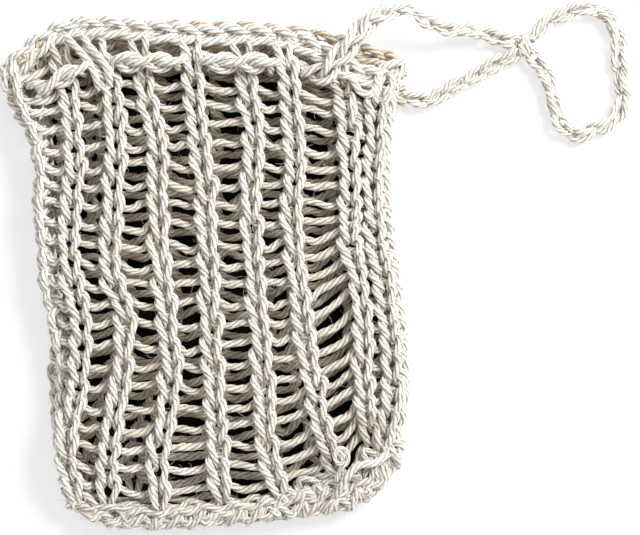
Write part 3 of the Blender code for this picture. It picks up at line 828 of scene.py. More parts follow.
def chain_line(way, link, half, lift, rng, turns=None):
    """A crocheted chain's strand along a way. turns gives its turning in degrees at a share of its length."""
    line, along, walked = measured(way)
    facings = np.array([unit(UP - tangent * np.dot(UP, tangent)) for tangent in along])
    count = max(2, int(round(walked[-1] / link)))
    link = walked[-1] / count
    points = []
    for number in range(count):
        wide = 1.0 + uneven(rng, LINK_WIDE)
        for share, across, out, thick in LINK:
            if number == count - 1 and share > LAST_LINK_ENDS:
                continue
            at = min(walked[-1], max(0.0, (number + share) * link))
            middle = read_along(walked, line, at)
            tangent, face = (unit(read_along(walked, values, at)) for values in (along, facings))
            if turns:
                angle = math.radians(turns(at / walked[-1]))
                face = face * math.cos(angle) + np.cross(tangent, face) * math.sin(angle)
            sideways = np.cross(tangent, face)
            place = middle + sideways * across * half * wide + face * (out * lift + CHAIN_RISE * lift)
            points.append((*(place + vec(*(uneven(rng, LINK_STRAY) for _ in range(3)))), thick))
    return smoothed(points)[0]


def plaited(line, along, facings, walked, stretch, chain):
    """Three strands plaited flat along a stretch of a line, drawn narrower towards the line's end."""
    distances = np.arange(stretch[0], stretch[1] + 0.01, PLAIT_STEP)
    drawn = np.array([eased((at - walked[-1] + PLAIT_DRAWN) / PLAIT_DRAWN) for at in distances])
    wide = chain.woven_half_width / MM * (1.0 - drawn) + chain.free_half_width / MM * drawn
    thick = 1.0 - (1.0 - chain.free_gauge / chain.woven_gauge) * drawn
    middle, tangent, face = (read_along(walked, values, distances) for values in (line, along, facings))
    sideways = np.cross(tangent, face)
    strands = []
    for number in range(3):
        angle = 2.0 * math.pi * (distances / (chain.woven_period / MM) + number / 3.0)
        differs = PLAIT_DIFFERS[0] * np.sin(angle * PLAIT_DIFFERS[1] + number)
        across = wide * np.sin(angle) * (1.0 + differs)
        out = chain.woven_lift / MM * np.sin(2.0 * angle)
        places = middle + sideways * across[:, None] + face * out[:, None]
        strands.append(np.concatenate([places, thick[:, None]], axis=1))
    return strands


# Finishes


def node(tree, kind, **settings):
    made = tree.nodes.new(kind)
    for name, value in settings.items():
        setattr(made, name, value)
    return made


def maths(tree, operation, first, second=None):
    made = node(tree, "ShaderNodeMath", operation=operation)
    for socket, value in zip(made.inputs, (first, second)):
        if value is None:
            continue
        if isinstance(value, (int, float)):
            socket.default_value = value
        else:
            tree.links.new(value, socket)
    return made.outputs[0]


def blended(tree, share, first, second, mode="MIX"):
    made = node(tree, "ShaderNodeMix", data_type="RGBA", blend_type=mode)
    sockets = (made.inputs["Factor"], made.inputs["A"], made.inputs["B"])
    for socket, value in zip(sockets, (share, first, second)):
        if isinstance(value, (int, float, tuple)):
            socket.default_value = value
        else:
            tree.links.new(value, socket)
    return made.outputs["Result"]


def stepped(tree, value, low, high):
    """0 at low and 1 at high, eased between them."""
    made = node(tree, "ShaderNodeMapRange", interpolation_type="SMOOTHSTEP")
    made.inputs["From Min"].default_value = low
    made.inputs["From Max"].default_value = high
    tree.links.new(value, made.inputs["Value"])
    return made.outputs["Result"]


def separated(tree, vector):
    """A vector's X, Y and Z."""
    made = node(tree, "ShaderNodeSeparateXYZ")
    tree.links.new(vector, made.inputs[0])
    return made.outputs["X"], made.outputs["Y"], made.outputs["Z"]


def combined(tree, *values):
    """A vector of these values."""
    made = node(tree, "ShaderNodeCombineXYZ")
    for value, socket in zip(values, made.inputs):
        tree.links.new(value, socket)
    return made.outputs[0]


def noise(tree, vector, scale, detail):
    """A noise pattern between 0 and 1."""
    made = node(tree, "ShaderNodeTexNoise")
    made.inputs["Scale"].default_value = scale
    made.inputs["Detail"].default_value = detail
    tree.links.new(vector, made.inputs["Vector"])
    return made.outputs["Fac"]


def shaded(colour, share):
    """The colour at a share of its light."""
    return tuple(value * share ** power for value, power in zip(colour[:3], SHADE_POWERS)) + (1.0,)


def new_material(name, finish):
    """A material with its node tree and its shader, whose sockets are set from the finish."""
    material = bpy.data.materials.new(name)
    material.use_nodes = True
    shader = material.node_tree.nodes["Principled BSDF"]
    for socket, value in finish.items():
        shader.inputs[socket].default_value = value
    return material, material.node_tree, shader


def cotton_yarn(name, colour, painted_inner_shade, inside_shaded):
    """Undyed twisted cotton: painted shade between its plies, streaked along its fibres, painted shade
    towards the inside of the bag.
    """
    settings = bpy.context.scene.soap_yarn
    material, tree, shader = new_material(name, COTTON)
    place = node(tree, "ShaderNodeTexCoord").outputs
    spot = separated(tree, place["Object"])
    around, along, _ = separated(tree, place["UV"])
    ply = maths(tree, "MULTIPLY", around, float(settings.plies))
    slant = maths(tree, "MULTIPLY", maths(tree, "ADD", spot[0], spot[1]), PLACE_SLANT / MM)

    fuzz = noise(tree, place["Object"], FUZZ_SCALE, 2.0)
    patches = noise(tree, place["Object"], PATCH_SCALE, 2.0)
    streaks_round = maths(tree, "MULTIPLY", around, STREAKS_ROUND)
    streaks_along = maths(tree, "MULTIPLY", along, STREAKS_ALONG)
    streaks = noise(tree, combined(tree, streaks_round, streaks_along, slant), 1.0, 3.0)
    threads_along = maths(tree, "MULTIPLY", along, THREADS_ALONG)
    threads = noise(tree, combined(tree, ply, threads_along, slant), 1.0, 1.0)

    body = blended(tree, stepped(tree, streaks, *STREAKS), shaded(colour, STREAK_SHADE), colour)
    patch = maths(tree, "MULTIPLY", stepped(tree, patches, *PATCHES), PATCH_SHARE)
    body = blended(tree, patch, body, shaded(colour, PATCH_SHADE))
    body = blended(tree, stepped(tree, threads, *THREADS), body, shaded(colour, THREAD_SHADE))
    # Painted shade in the grooves between the plies, its edges moved by the fuzz
    astray = maths(tree, "MULTIPLY", maths(tree, "SUBTRACT", fuzz, 0.5), FUZZ_STRAY)
    from_groove = maths(tree, "PINGPONG", maths(tree, "ADD", ply, astray), 0.5)
    groove = (value * settings.painted_groove_shade * warm for value, warm in zip(colour, PAINTED_GROOVE_WARMTH))
    body = blended(tree, stepped(tree, from_groove, *GROOVE_EDGE), (*groove, 1.0), body)
    # Painted shade towards the pocket's middle and on the rungs, by the height of the surface
    if inside_shaded:
        body = painted_inside_shade(tree, spot, body, painted_inner_shade)
    tree.links.new(body, shader.inputs["Base Color"])

    bump = node(tree, "ShaderNodeBump")
    bump.inputs["Strength"].default_value = BUMP_STRENGTH
    bump.inputs["Distance"].default_value = BUMP_DISTANCE
    tree.links.new(maths(tree, "ADD", streaks, fuzz), bump.inputs["Height"])
    tree.links.new(bump.outputs["Normal"], shader.inputs["Normal"])
    return material


def painted_inside_shade(tree, spot, body, painted_inner_shade):
    """The colour with painted shade towards the pocket's middle, and the rungs' painted shade as far as the
    rungs.
    """
    x, y, z = spot
    away = maths(tree, "ABSOLUTE", maths(tree, "SUBTRACT", z, POCKET_MIDDLE * MM))
    beyond = maths(tree, "MAXIMUM", maths(tree, "SUBTRACT", x, TINT_CORNER_X * MM), 0.0)
    level = maths(tree, "SUBTRACT", y, maths(tree, "MULTIPLY", beyond, TINT_CORNER_RISE))
    closed = stepped(tree, level, *(y_place * MM for y_place in TINT_CLOSING))
    away = maths(tree, "ADD", away, maths(tree, "MULTIPLY", closed, FRONT_CLOSING * MM))
    outside = stepped(tree, away, *(distance * MM for distance in INNER_FADES))
    tint = blended(tree, outside, painted_inner_shade, (1.0, 1.0, 1.0, 1.0))
    body = blended(tree, 1.0, body, tint, "MULTIPLY")
    proud = stepped(tree, away, *(distance * MM for distance in RUNG_FADES))
    return blended(tree, proud, blended(tree, 1.0, body, RUNG_PAINTED_SHADE, "MULTIPLY"), body)


def finish_material(kind):
    """The yarn's finish for a part of the bag, made once and shared."""
    settings = bpy.context.scene.soap_yarn
    name = "cotton_" + kind
    if name in bpy.data.materials:
        return bpy.data.materials[name]
    colour = {
        "front": settings.front_colour, "back": settings.back_colour, "cord": settings.cord_colour,
        "edge": settings.front_colour, "free_cord": settings.cord_colour,
        "seam": shaded(settings.front_colour, SEAM_SHADE),
    }[kind]
    # The walls and the drawstring in the mouth take painted shade towards the inside of the bag
    inside_shaded = kind in ("front", "back", "cord")
    return cotton_yarn(name, tuple(colour), tuple(settings.painted_inner_shade), inside_shaded)


def dress(piece, slot, *nodes):
    """The piece stands for these nodes of the solid model, which are hidden. The slot is not used."""
    if nodes:
        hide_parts(*nodes)


def hinge_blend(piece):
    """The piece's transform is baked into its mesh."""
    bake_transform(piece)


# What a user can change


class SoapYarnSettings(bpy.types.PropertyGroup):
    diameter: bpy.props.FloatProperty(
        name="Yarn diameter", description="Across the yarn, over its plies", default=2.02 * MM, unit="LENGTH")
    plies: bpy.props.IntProperty(
        name="Plies", description="Threads that are twisted into the yarn", default=4, min=2, max=12)
    groove: bpy.props.FloatProperty(
        name="Groove depth", description="Depth of the groove between plies, as a share of the radius",
        default=0.36, min=0.0, max=0.5, subtype="FACTOR")
    roughness: bpy.props.FloatProperty(
        name="Roughness", description="How much the yarn's thickness varies, as a share of it", default=0.11,
        min=0.0, max=0.3, subtype="FACTOR")
    twist_length: bpy.props.FloatProperty(
        name="Twist length", description="Length of yarn in which a ply goes round once", default=10.6 * MM,
        unit="LENGTH")
    spacing: bpy.props.FloatProperty(
        name="Spacing", description="Distance between the rings of a strand's mesh", default=0.66 * MM,
        unit="LENGTH")
    front_colour: bpy.props.FloatVectorProperty(
        name="Front colour", description="Undyed cotton where the light reaches it", size=4, subtype="COLOR",
        default=(0.936, 0.919, 0.89, 1.0), min=0.0, max=1.0)
    back_colour: bpy.props.FloatVectorProperty(
        name="Back colour", description="Undyed cotton of the back layer", size=4, subtype="COLOR",
        default=(0.95, 0.918, 0.858, 1.0), min=0.0, max=1.0)
    cord_colour: bpy.props.FloatVectorProperty(
        name="Drawstring colour", description="Undyed cotton of the drawstring", size=4, subtype="COLOR",
        default=(0.935, 0.908, 0.858, 1.0), min=0.0, max=1.0)
    # Painted shade: the colour that stands in for the shade towards the inside of the bag
    painted_inner_shade: bpy.props.FloatVectorProperty(
        name="Inner tint", description="Tint that the yarn takes on towards the inside of the bag", size=4,
        subtype="COLOR", default=(0.93, 0.874, 0.80, 1.0), min=0.0, max=1.0)
    # Painted shade in the grooves between the plies
    painted_groove_shade: bpy.props.FloatProperty(
        name="Groove shade", description="How dark the grooves are beside the plies", default=0.34, min=0.0,
        max=1.0, subtype="FACTOR")
    hairs: bpy.props.IntProperty(
        name="Hairs", description="Loose fibres that stand off the yarn", default=1700, min=0, max=5000)
    hair_radius: bpy.props.FloatProperty(
        name="Hair radius", description="Half the thickness of a loose fibre", default=0.03 * MM,
        unit="LENGTH")


class SoapKnittingSettings(bpy.types.PropertyGroup):
    row_height: bpy.props.FloatProperty(
        name="Row height", description="Height of one course", default=5.45 * MM, unit="LENGTH")
    stitch_half_width: bpy.props.FloatProperty(
        name="Stitch half width", description="From a wale's middle to the middle of its leg",
        default=2.12 * MM, unit="LENGTH")
    lift: bpy.props.FloatProperty(
        name="Lift", description="How far a strand rises over and dips under the wall's middle",
        default=0.95 * MM, unit="LENGTH")
    rung_sag: bpy.props.FloatProperty(
        name="Rung sag", description="How far the strand between two wales hangs down in its middle",
        default=0.75 * MM, unit="LENGTH")
    front_sway: bpy.props.FloatProperty(
        name="Front sway", description="How much the front's cross strands rise and fall", default=0.7 * MM,
        unit="LENGTH")
    back_sway: bpy.props.FloatProperty(
        name="Back sway", description="How much the back's cross strands rise and fall", default=1.3 * MM,
        unit="LENGTH")
    unevenness: bpy.props.FloatProperty(
        name="Unevenness", description="How much hand knitting varies", default=1.0, min=0.0, max=2.0)
    seed: bpy.props.IntProperty(name="Seed", description="Picks one pattern of unevenness", default=11)


class SoapChainSettings(bpy.types.PropertyGroup):
    rim_link: bpy.props.FloatProperty(
        name="Rim link", description="Length of one link of the rim", default=6.8 * MM, unit="LENGTH")
    rim_gauge: bpy.props.FloatProperty(
        name="Rim gauge", description="The rim's yarn as a share of the pouch's", default=1.04, min=0.3,
        max=2.0)
    rim_half_width: bpy.props.FloatProperty(
        name="Rim half width", description="From the rim's middle to the middle of its strand",
        default=1.9 * MM, unit="LENGTH")
    woven_period: bpy.props.FloatProperty(
        name="Woven period", description="Length in which a strand of the drawstring crosses and comes back",
        default=25.0 * MM, unit="LENGTH")
    woven_half_width: bpy.props.FloatProperty(
        name="Woven half width", description="From the drawstring's middle to its strand's, in the mouth",
        default=2.25 * MM, unit="LENGTH")
    woven_lift: bpy.props.FloatProperty(
        name="Woven lift", description="How far the drawstring's strands rise and dip in the mouth",
        default=1.15 * MM, unit="LENGTH")
    woven_gauge: bpy.props.FloatProperty(
        name="Woven gauge", description="The drawstring's yarn in the mouth as a share of the pouch's",
        default=1.06, min=0.3, max=2.0)
    free_link: bpy.props.FloatProperty(
        name="Free link", description="Length of one link of the drawstring's free part", default=6.4 * MM,
        unit="LENGTH")
    free_half_width: bpy.props.FloatProperty(
        name="Free half width", description="From the drawstring's middle to its strand's, where it is free",
        default=1.42 * MM, unit="LENGTH")
    free_gauge: bpy.props.FloatProperty(
        name="Free gauge", description="The drawstring's yarn as a share of the pouch's, where it is free",
        default=0.85, min=0.3, max=2.0)
    lift: bpy.props.FloatProperty(
        name="Lift", description="How far a chain's strand rises and dips", default=0.85 * MM, unit="LENGTH")


class SoapStageSettings(bpy.types.PropertyGroup):
    floor_colour: bpy.props.FloatVectorProperty(
        name="Floor colour", description="Plain pale floor", size=4, subtype="COLOR",
        default=(0.9, 0.9, 0.9, 1.0), min=0.0, max=1.0)
    # Painted shadow: the colour of a nearly black card under the bag that shows through the gaps
    shadow_card_colour: bpy.props.FloatVectorProperty(
        name="Card colour", description="Dark card that shows through the gaps", size=4, subtype="COLOR",
        default=(0.0085, 0.008, 0.0075, 1.0), min=0.0, max=1.0)
    key_power: bpy.props.FloatProperty(
        name="Key light", description="Power of the soft light from the upper right", default=9.5,
        subtype="POWER")
    fill: bpy.props.FloatProperty(
        name="Fill light", description="Strength of the light from all round", default=0.76)
    camera_height: bpy.props.FloatProperty(
        name="Camera height", description="Height of the camera over the bag", default=0.9, unit="LENGTH")


# The pieces


class SOAPBAG_OT_camera(bpy.types.Operator):
    """Set the camera straight over the bag"""
    bl_idname = "soapbag.camera"
    bl_label = "Camera"

    def execute(self, context):
        height = context.scene.soap_stage.camera_height
        data = bpy.data.cameras.new("camera")
        data.sensor_width = SENSOR
        data.lens = SENSOR * height / (VIEW_WIDTH * MM)
        data.clip_start = 0.01
        camera = linked("camera", data)
        camera.location = (VIEW_MIDDLE[0] * MM, VIEW_MIDDLE[1] * MM, height + VIEW_LEVEL * MM)
        context.scene.camera = camera
        return {"FINISHED"}


def at_knot(meets):
    """A place where a cord meets the knot."""
    return vec(KNOT_AT[0] + meets[0], KNOT_AT[1] + meets[1], KNOT_HEIGHT)


def front_strand_line():
    """The drawstring's way from over the front rim down to the surface and on to the knot."""
    start = vec(*FRONT_STRAND_START)
    points = [start, start + vec(*FRONT_STRAND_LEAVES)]
    last = len(FRONT_STRAND_WAY) - 1
    for i, (x, y) in enumerate(FRONT_STRAND_WAY):
        points.append(vec(x, y, CORD_REST + (start[2] - CORD_REST) * (1.0 - eased(i / last))))
    return fine_line(points + [at_knot(FRONT_MEETS)])


def chain_turns(amount, waves, phase):
    """A chain's own slow turning along its length."""
    return lambda share: amount * math.sin(2.0 * math.pi * waves * share + phase)


class SOAPBAG_OT_free_cords(bpy.types.Operator):
    """Crochet the drawstring's free strands, its hanging loop and its knot"""
    bl_idname = "soapbag.free_cords"
    bl_label = "Free cords"

    def execute(self, context):
        chain = context.scene.soap_chain
        link, half, lift = chain.free_link / MM, chain.free_half_width / MM, chain.lift / MM
        rng = random.Random(CORD_SEED)
        material = finish_material("free_cord")
        front = front_strand_line()
        front = front[front[:, 0] >= SPLIT_X]
        start = vec(*SIDE_STRAND_START, CORD_REST)
        side = [start, start + vec(*SIDE_STRAND_LEAVES)]
        side += [vec(x, y, CORD_REST) for x, y in SIDE_STRAND_WAY]
        side = fine_line(side + [at_knot(SIDE_MEETS)])
        loop = [vec(x, y, CORD_REST) for x, y in LOOP_WAY]
        loop = fine_line([at_knot(LOOP_LEAVES), *loop, at_knot(LOOP_COMES_BACK)])
        cords = []
        for name, line, turns, far_end in (
            ("drawstring_front_strand", front, chain_turns(35.0, 1.2, 0.4), "knot"),
            ("drawstring_side_strand", side, chain_turns(30.0, 1.0, 1.9), "knot"),
            ("drawstring_loop", loop, chain_turns(50.0, 2.6, 0.2), "object"),
        ):
            strand = chain_line(line, link, half, lift, rng, turns)
            cord = make_strands(name, [strand], material, gauge=chain.free_gauge)
            cords.append(cord)
        knot = make_knot(material, chain.free_gauge)
        dress(cords[0], "drawstring_cord", "front_strand")
        dress(cords[1], "drawstring_cord", "side_strand")
        dress(cords[2], "drawstring_cord", "hanging_loop")
        dress(knot, "drawstring_cord", "drawstring_knot")
        for cord, start, stop in ((cords[0], front[0], front[-1]), (cords[1], side[0], side[-1])):
            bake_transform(cord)
        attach(cords[2], "drawstring_tail")
        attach(knot, "drawstring_tail")
        return {"FINISHED"}


def make_knot(material, gauge):
    """An overhand knot: turns of the cord's yarn drawn tight round both strands."""
    middle = vec(*KNOT_AT, KNOT_HEIGHT)
    turns = []
    for first, lean, radius in KNOT_TURNS:
        ring = []
        for i in range(KNOT_PLACES):
            angle = first + 2.0 * math.pi * i / KNOT_TURN_PLACES
            across = math.cos(angle) * radius
            up = math.sin(angle) * radius * KNOT_FLATNESS
            along = -KNOT_LENGTH / 2 + KNOT_LENGTH * i / (KNOT_PLACES - 1) + lean * across
            ring.append((*(middle + vec(along, across, up)), 1.0))
        turns.append(smoothed(ring)[0])
    return make_strands("knot_turns", turns, material, gauge=gauge)


class SOAPBAG_OT_casing(bpy.types.Operator):
    """Weave the drawstring round the mouth"""
    bl_idname = "soapbag.casing"
    bl_label = "Drawstring in its casing"

    def execute(self, context):
        chain = context.scene.soap_chain
        material = finish_material("cord")
        way, marks = casing_way()
        line = fine_line(way)
        free = front_strand_line()
        line = line[:nearest(line, free[0]) + 1]
        line = np.concatenate([line, free[(free[:, 0] < SPLIT_X) & (np.arange(len(free)) > 0)]])
        along, facings = carried_frames(line, vec(0, 0, -1))
        walked = walked_along(line)
        low, high = (walked[nearest(line, mark)] for mark in marks)
        made = []
        for name, stretch in (
            ("drawstring_back", (0.0, low)), ("drawstring_turn", (low, high)),
            ("drawstring_front", (high, walked[-1])),
        ):
            strands = plaited(line, along, facings, walked, stretch, chain)
            made.append(make_strands(name, strands, material, gauge=chain.woven_gauge))
        back, turn, front = made
        dress(back, "drawstring_cord", "drawstring_back_run")
        dress(turn, "drawstring_cord")
        dress(front, "drawstring_cord", "drawstring_front_run")
        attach(back, "pouch_back")
        hinge_blend(turn)
        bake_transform(front)
        return {"FINISHED"}


def casing_way():
    """The drawstring's way from the right, through the back, round the left fold and across the front, with
    the places where it passes from the back to the fold and from the fold to the front."""
    way = [vec(SIDE_STRAND_START[0] + START_OVERLAP, SIDE_STRAND_START[1], CORD_REST)]
    backs = [station_place((BACK, wale), CASING_ROW - BACK_ROW_SHIFT)[0] for wale in range(WALES)]
    for wale in reversed(range(WALES)):
        x, y, _ = backs[wale]
        height, half = CORD_INSIDE if wale % 2 == 0 else CORD_OUTSIDE
        way += [vec(x + half, y, height), vec(x - half, y, height)]
    way += LEFT_TURN_WAY
    fronts = [station_place((FRONT, wale), CASING_ROW)[0] for wale in range(WALES)]
    for wale in DIVES:
        x, y, _ = fronts[wale]
        way += [vec(x - UNDER_HALF, y, CORD_UNDER), vec(x + UNDER_HALF, y, CORD_UNDER)]
        if wale < DIVES[-1]:
            onward = fronts[wale + 2]
            x, y, _ = (fronts[wale] + onward) / 2
            reach = (onward[0] - fronts[wale][0]) / 2 - DIVE_REACH
            way += [vec(x - reach, y, CORD_OVER), vec(x, y, CORD_OVER + CORD_CREST)]
            way += [vec(x + reach, y, CORD_OVER)]
    way += RIM_CLIMB_WAY
    way += [place for place in front_strand_line()[::8] if place[0] <= SPLIT_X + SPLIT_MARGIN]
    return way, (backs[1], fronts[1] - vec(0.0, 0.0, FRONT_TURN_UNDER))


def knit_wall(side, courses, material, slot, body):
    """Knit a wall's courses. Its lowest piece stands for the wall's node of the solid model."""
    for band, first, end in BANDS:
        strands = [course[side] for course in courses[first:end]]
        piece = make_strands(f"{side}_knitting_{band}", strands, material)
        dress(piece, slot, *((side + "_wall",) if band == "low" else ()))
        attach(piece, body)


class SOAPBAG_OT_front_knitting(bpy.types.Operator):
    """Knit the front wall"""
    bl_idname = "soapbag.front_knitting"
    bl_label = "Front knitting"

    def execute(self, context):
        knit_wall(FRONT, all_courses(), finish_material("front"), "pouch_yarn_light", "pouch_front")
        return {"FINISHED"}


class SOAPBAG_OT_back_knitting(bpy.types.Operator):
    """Knit the back wall and the folds at both sides"""
    bl_idname = "soapbag.back_knitting"
    bl_label = "Back knitting and folds"

    def execute(self, context):
        courses = all_courses()
        knit_wall(BACK, courses, finish_material("back"), "pouch_yarn", "pouch_back")
        for side, fold in ((LEFT, "left_fold"), (RIGHT, "right_fold")):
            strands = [course[side] for course in courses]
            piece = make_strands(fold + "_knitting", strands, finish_material("edge"))
            dress(piece, "pouch_yarn", fold)
            hinge_blend(piece)
        return {"FINISHED"}


def wavy_beside(places, across, height, wave, phase):
    """A loose strand that follows a way beside it, and above or below it."""
    line = fine_line(places, steps=12, spacing=WAVY_SPACING)
    strand = []
    for i, (place, tangent) in enumerate(zip(line, np.gradient(line, axis=0))):
        sideways = unit(np.cross(unit(tangent), UP))
        middle = place + sideways * (across + wave * math.sin(WAVY_RATES[0] * i + phase))
        middle = middle + vec(0, 0, height + WAVY_UP * math.cos(WAVY_RATES[1] * i + phase))
        strand.append((*middle, WAVY_THICKNESS))
    return smoothed(strand)[0]


def whipped(road, pitch, reach, rise, lean, rng):
    """A strand that winds round a measured line, with the unevenness of sewing by hand."""
    line, along, walked = road
    count = int(walked[-1] / pitch * WHIP_PLACES)
    whip, wobble = [], 0.0
    for i in range(count + 1):
        at = walked[-1] * i / count
        middle, tangent = read_along(walked, line, at), unit(read_along(walked, along, at))
        sideways = unit(np.cross(tangent, UP))
        angle = 2.0 * math.pi * i / WHIP_PLACES
        if i % WHIP_PLACES == 0:
            wobble = uneven(rng, WHIP_DIFFERS)
        across = math.cos(angle) * (reach + wobble)
        up = math.sin(angle) * (rise + WHIP_DIFFERS_UP * wobble)
        forward = lean * math.cos(angle) + wobble
        whip.append((*(middle + sideways * across + vec(0, 0, up) + tangent * forward), 1.0))
    return smoothed(whip)[0]


def tangled(road, step, rng):
    """A strand that wanders to and fro along a measured line."""
    line, along, walked = road
    strand, side = [], 1.0
    for i in range(int(walked[-1] / step) - 1):
        at = (i + TANGLE_START + uneven(rng, TANGLE_STRAYS)) * step
        middle, tangent = read_along(walked, line, at), unit(read_along(walked, along, at))
        side = -side if rng.random() < TANGLE_CROSSES else side
        across = side * (TANGLE_ASIDE[0] + uneven(rng, TANGLE_ASIDE[1])) + TANGLE_MIDDLE
        height = TANGLE_UP[0] + uneven(rng, TANGLE_UP[1])
        place = middle + unit(np.cross(tangent, UP)) * across + vec(0, 0, height)
        strand.append((*place, TANGLE_THICKNESS))
    return smoothed(strand)[0]


def filling(fills, rng):
    """Tangled strands along each of the ways."""
    return [tangled(measured(way), step, rng) for way, steps in fills for step in steps]


def rim_halves(line):
    """A strand along the rim, cut in two: its right half and its left half."""
    cut = int(np.argmax(line[:, 0] < RIM_CUT))
    return {"right": line[:cut + 1], "left": line[cut:]}


def rim_blend(piece):
    """The half's transform is baked into its mesh."""
    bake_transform(piece)


class SOAPBAG_OT_rims(bpy.types.Operator):
    """Bind off the mouth with a chain"""
    bl_idname = "soapbag.rims"
    bl_label = "Rims"

    def execute(self, context):
        chain = context.scene.soap_chain
        link, half, lift = chain.rim_link / MM, chain.rim_half_width / MM, chain.lift / MM
        rng = random.Random(RIM_SEED)
        for cad, way, kind, slot, body, under in (
            ("front_rim", FRONT_RIM_WAY, "edge", "pouch_yarn_light", "pouch_front", FRONT_RIM_STRANDS),
            ("back_rim", BACK_RIM_WAY, "back", "pouch_yarn", "pouch_back", BACK_RIM_STRANDS),
        ):
            strand = chain_line(way, link, half, lift, rng)
            lines = [wavy_beside(way[1:-2], *beside_rim) for beside_rim in under]
            for side in RIM_MEETS:
                name = f"{cad}_{side}"
                piece = make_strands(
                    name + "_chain", [rim_halves(strand)[side]], finish_material(kind), gauge=chain.rim_gauge)
                base = make_strands(
                    name + "_base", [rim_halves(line)[side] for line in lines], finish_material("back"))
                dress(piece, slot, *((cad,) if side == "right" else ()))
                dress(base, slot)
                rim_blend(piece)
                rim_blend(base)
        loops = [smoothed([(*place, 1.0) for place in way])[0] for way in (RIM_CURL, *LONG_LEGS)]
        loops = make_strands("rim_loops", loops, finish_material("front"))
        corner = make_strands("left_corner_filling", filling(MOUTH_FILLS, rng), finish_material("back"))
        for piece in (loops, corner):
            dress(piece, "pouch_yarn_light")
            hinge_blend(piece)
        return {"FINISHED"}


class SOAPBAG_OT_seam(bpy.types.Operator):
    """Whip the bottom shut"""
    bl_idname = "soapbag.seam"
    bl_label = "Bottom seam"

    def execute(self, context):
        rng = random.Random(SEAM_SEED)
        road = measured(SEAM_WAY)
        strands = [whipped(road, *whip, rng) for whip in WHIPS]
        strands += [tangled(road, step, rng) for step in SEAM_TANGLES]
        strands += [wavy_beside(SEAM_WAY, *beside_seam) for beside_seam in SEAM_STRANDS]
        strands += filling(SEAM_FILLS, rng)
        piece = make_strands("bottom_seam_whipping", strands, finish_material("seam"))
        dress(piece, "seam_yarn", "bottom_seam")
        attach(piece, "pouch_back")
        corner = smoothed([(*place, CORNER_THICKNESS) for place in CORNER_STRAND])[0]
        corner_piece = make_strands("corner_strand", [corner], finish_material("edge"))
        dress(corner_piece, "seam_yarn")
        hinge_blend(corner_piece)
        return {"FINISHED"}


class SOAPBAG_OT_yarn_end(bpy.types.Operator):
    """Curl the yarn's end on the front, near the bottom right corner"""
    bl_idname = "soapbag.yarn_end"
    bl_label = "Yarn end"

    def execute(self, context):
        x, y, z = CURL_MIDDLE
        curl = list(CURL_START)
        for i in range(CURL_PLACES):
            angle = math.radians(CURL_ANGLES[0] + CURL_ANGLES[1] * i / (CURL_PLACES - 1))
            radius = CURL_RADIUS - CURL_SHRINKS * i
            curl.append((
                x + radius * math.cos(angle), y + CURL_TALL * radius * math.sin(angle), z + CURL_RISES * i,
                CURL_THICKNESS))
        piece = make_strands("yarn_end", [smoothed(curl)[0]], finish_material("edge"))
        dress(piece, "seam_yarn", "yarn_tail")
        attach(piece, "pouch_front")
        return {"FINISHED"}


def hair_lines(lines, count, rise, rng):
    """Fibres that stand off these lines, each a short bent line in millimetres."""
    hairs = []
    for _ in range(count):
        line = rng.choice(lines)
        place = line[rng.randrange(1, len(line) - 1), :3]
        heading = rng.uniform(0.0, 2.0 * math.pi)
        way = vec(math.cos(heading), math.sin(heading), rng.uniform(0.0, rise))
        bend = rng.uniform(-HAIR_BEND, HAIR_BEND)
        step = rng.uniform(*HAIR_STEP)
        cosine, sine = math.cos(bend), math.sin(bend)
        hair = [place]
        for _ in range(HAIR_STEPS):
            x, y, z = way
            way = vec(x * cosine - y * sine, x * sine + y * cosine, z * HAIR_FLATTENS)
            hair.append(hair[-1] + way * step)
        hairs.append(np.array(hair))
    return hairs


def edge_lines(way, reach):
    """Lines beside a way, as roots for the fibres of an edge."""
    line = fine_line(way, steps=12, spacing=0.8)
    sideways = np.cross(np.gradient(line, axis=0), UP)
    sideways /= np.linalg.norm(sideways, axis=1)[:, None]
    return [line + sideways * across for across in (-reach, 0.0, reach)]


def make_hairs(name, hairs, material):
    """One object of fibres."""
    curve = bpy.data.curves.new(name, "CURVE")
    curve.dimensions = "3D"
    curve.bevel_depth = bpy.context.scene.soap_yarn.hair_radius
    curve.bevel_resolution = 0
    for hair in hairs:
        add_spline(curve, hair * MM).points[-1].radius = HAIR_TIP
    return piece_from_curve(name, curve, material)


class SOAPBAG_OT_hairs(bpy.types.Operator):
    """Let loose fibres stand off the yarn"""
    bl_idname = "soapbag.hairs"
    bl_label = "Hairs"

    def execute(self, context):
        rng = random.Random(HAIR_SEED)
        courses = all_courses()
        count = context.scene.soap_yarn.hairs
        front = [course[FRONT] for course in courses]
        back = [course[BACK] for course in courses]
        for name, lines, share, rise, body in (
            ("front_hairs", front, 0.6, 0.5, "pouch_front"), ("back_hairs", back, 0.4, -0.5, "pouch_back"),
            ("rim_hairs", edge_lines(FRONT_RIM_WAY[3:-3], 2.4), 0.08, 0.4, None),
            ("seam_hairs", edge_lines(SEAM_WAY, 2.6), 0.14, 0.3, None),
        ):
            hairs = hair_lines(lines, int(count * share), rise, rng)
            piece = make_hairs(name, hairs, finish_material("edge"))
            dress(piece, "pouch_yarn_light")
            if body:
                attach(piece, body)
            else:
                hinge_blend(piece)
        return {"FINISHED"}


def flat_sheet(name, outline, height, material):
    """A flat face with the given outline."""
    bm = bmesh.new()
    bm.faces.new([bm.verts.new((x * MM, y * MM, height * MM)) for x, y in outline])
    mesh = bpy.data.meshes.new(name)
    bm.to_mesh(mesh)
    bm.free()
    mesh.materials.append(material)
    return linked(name, mesh)


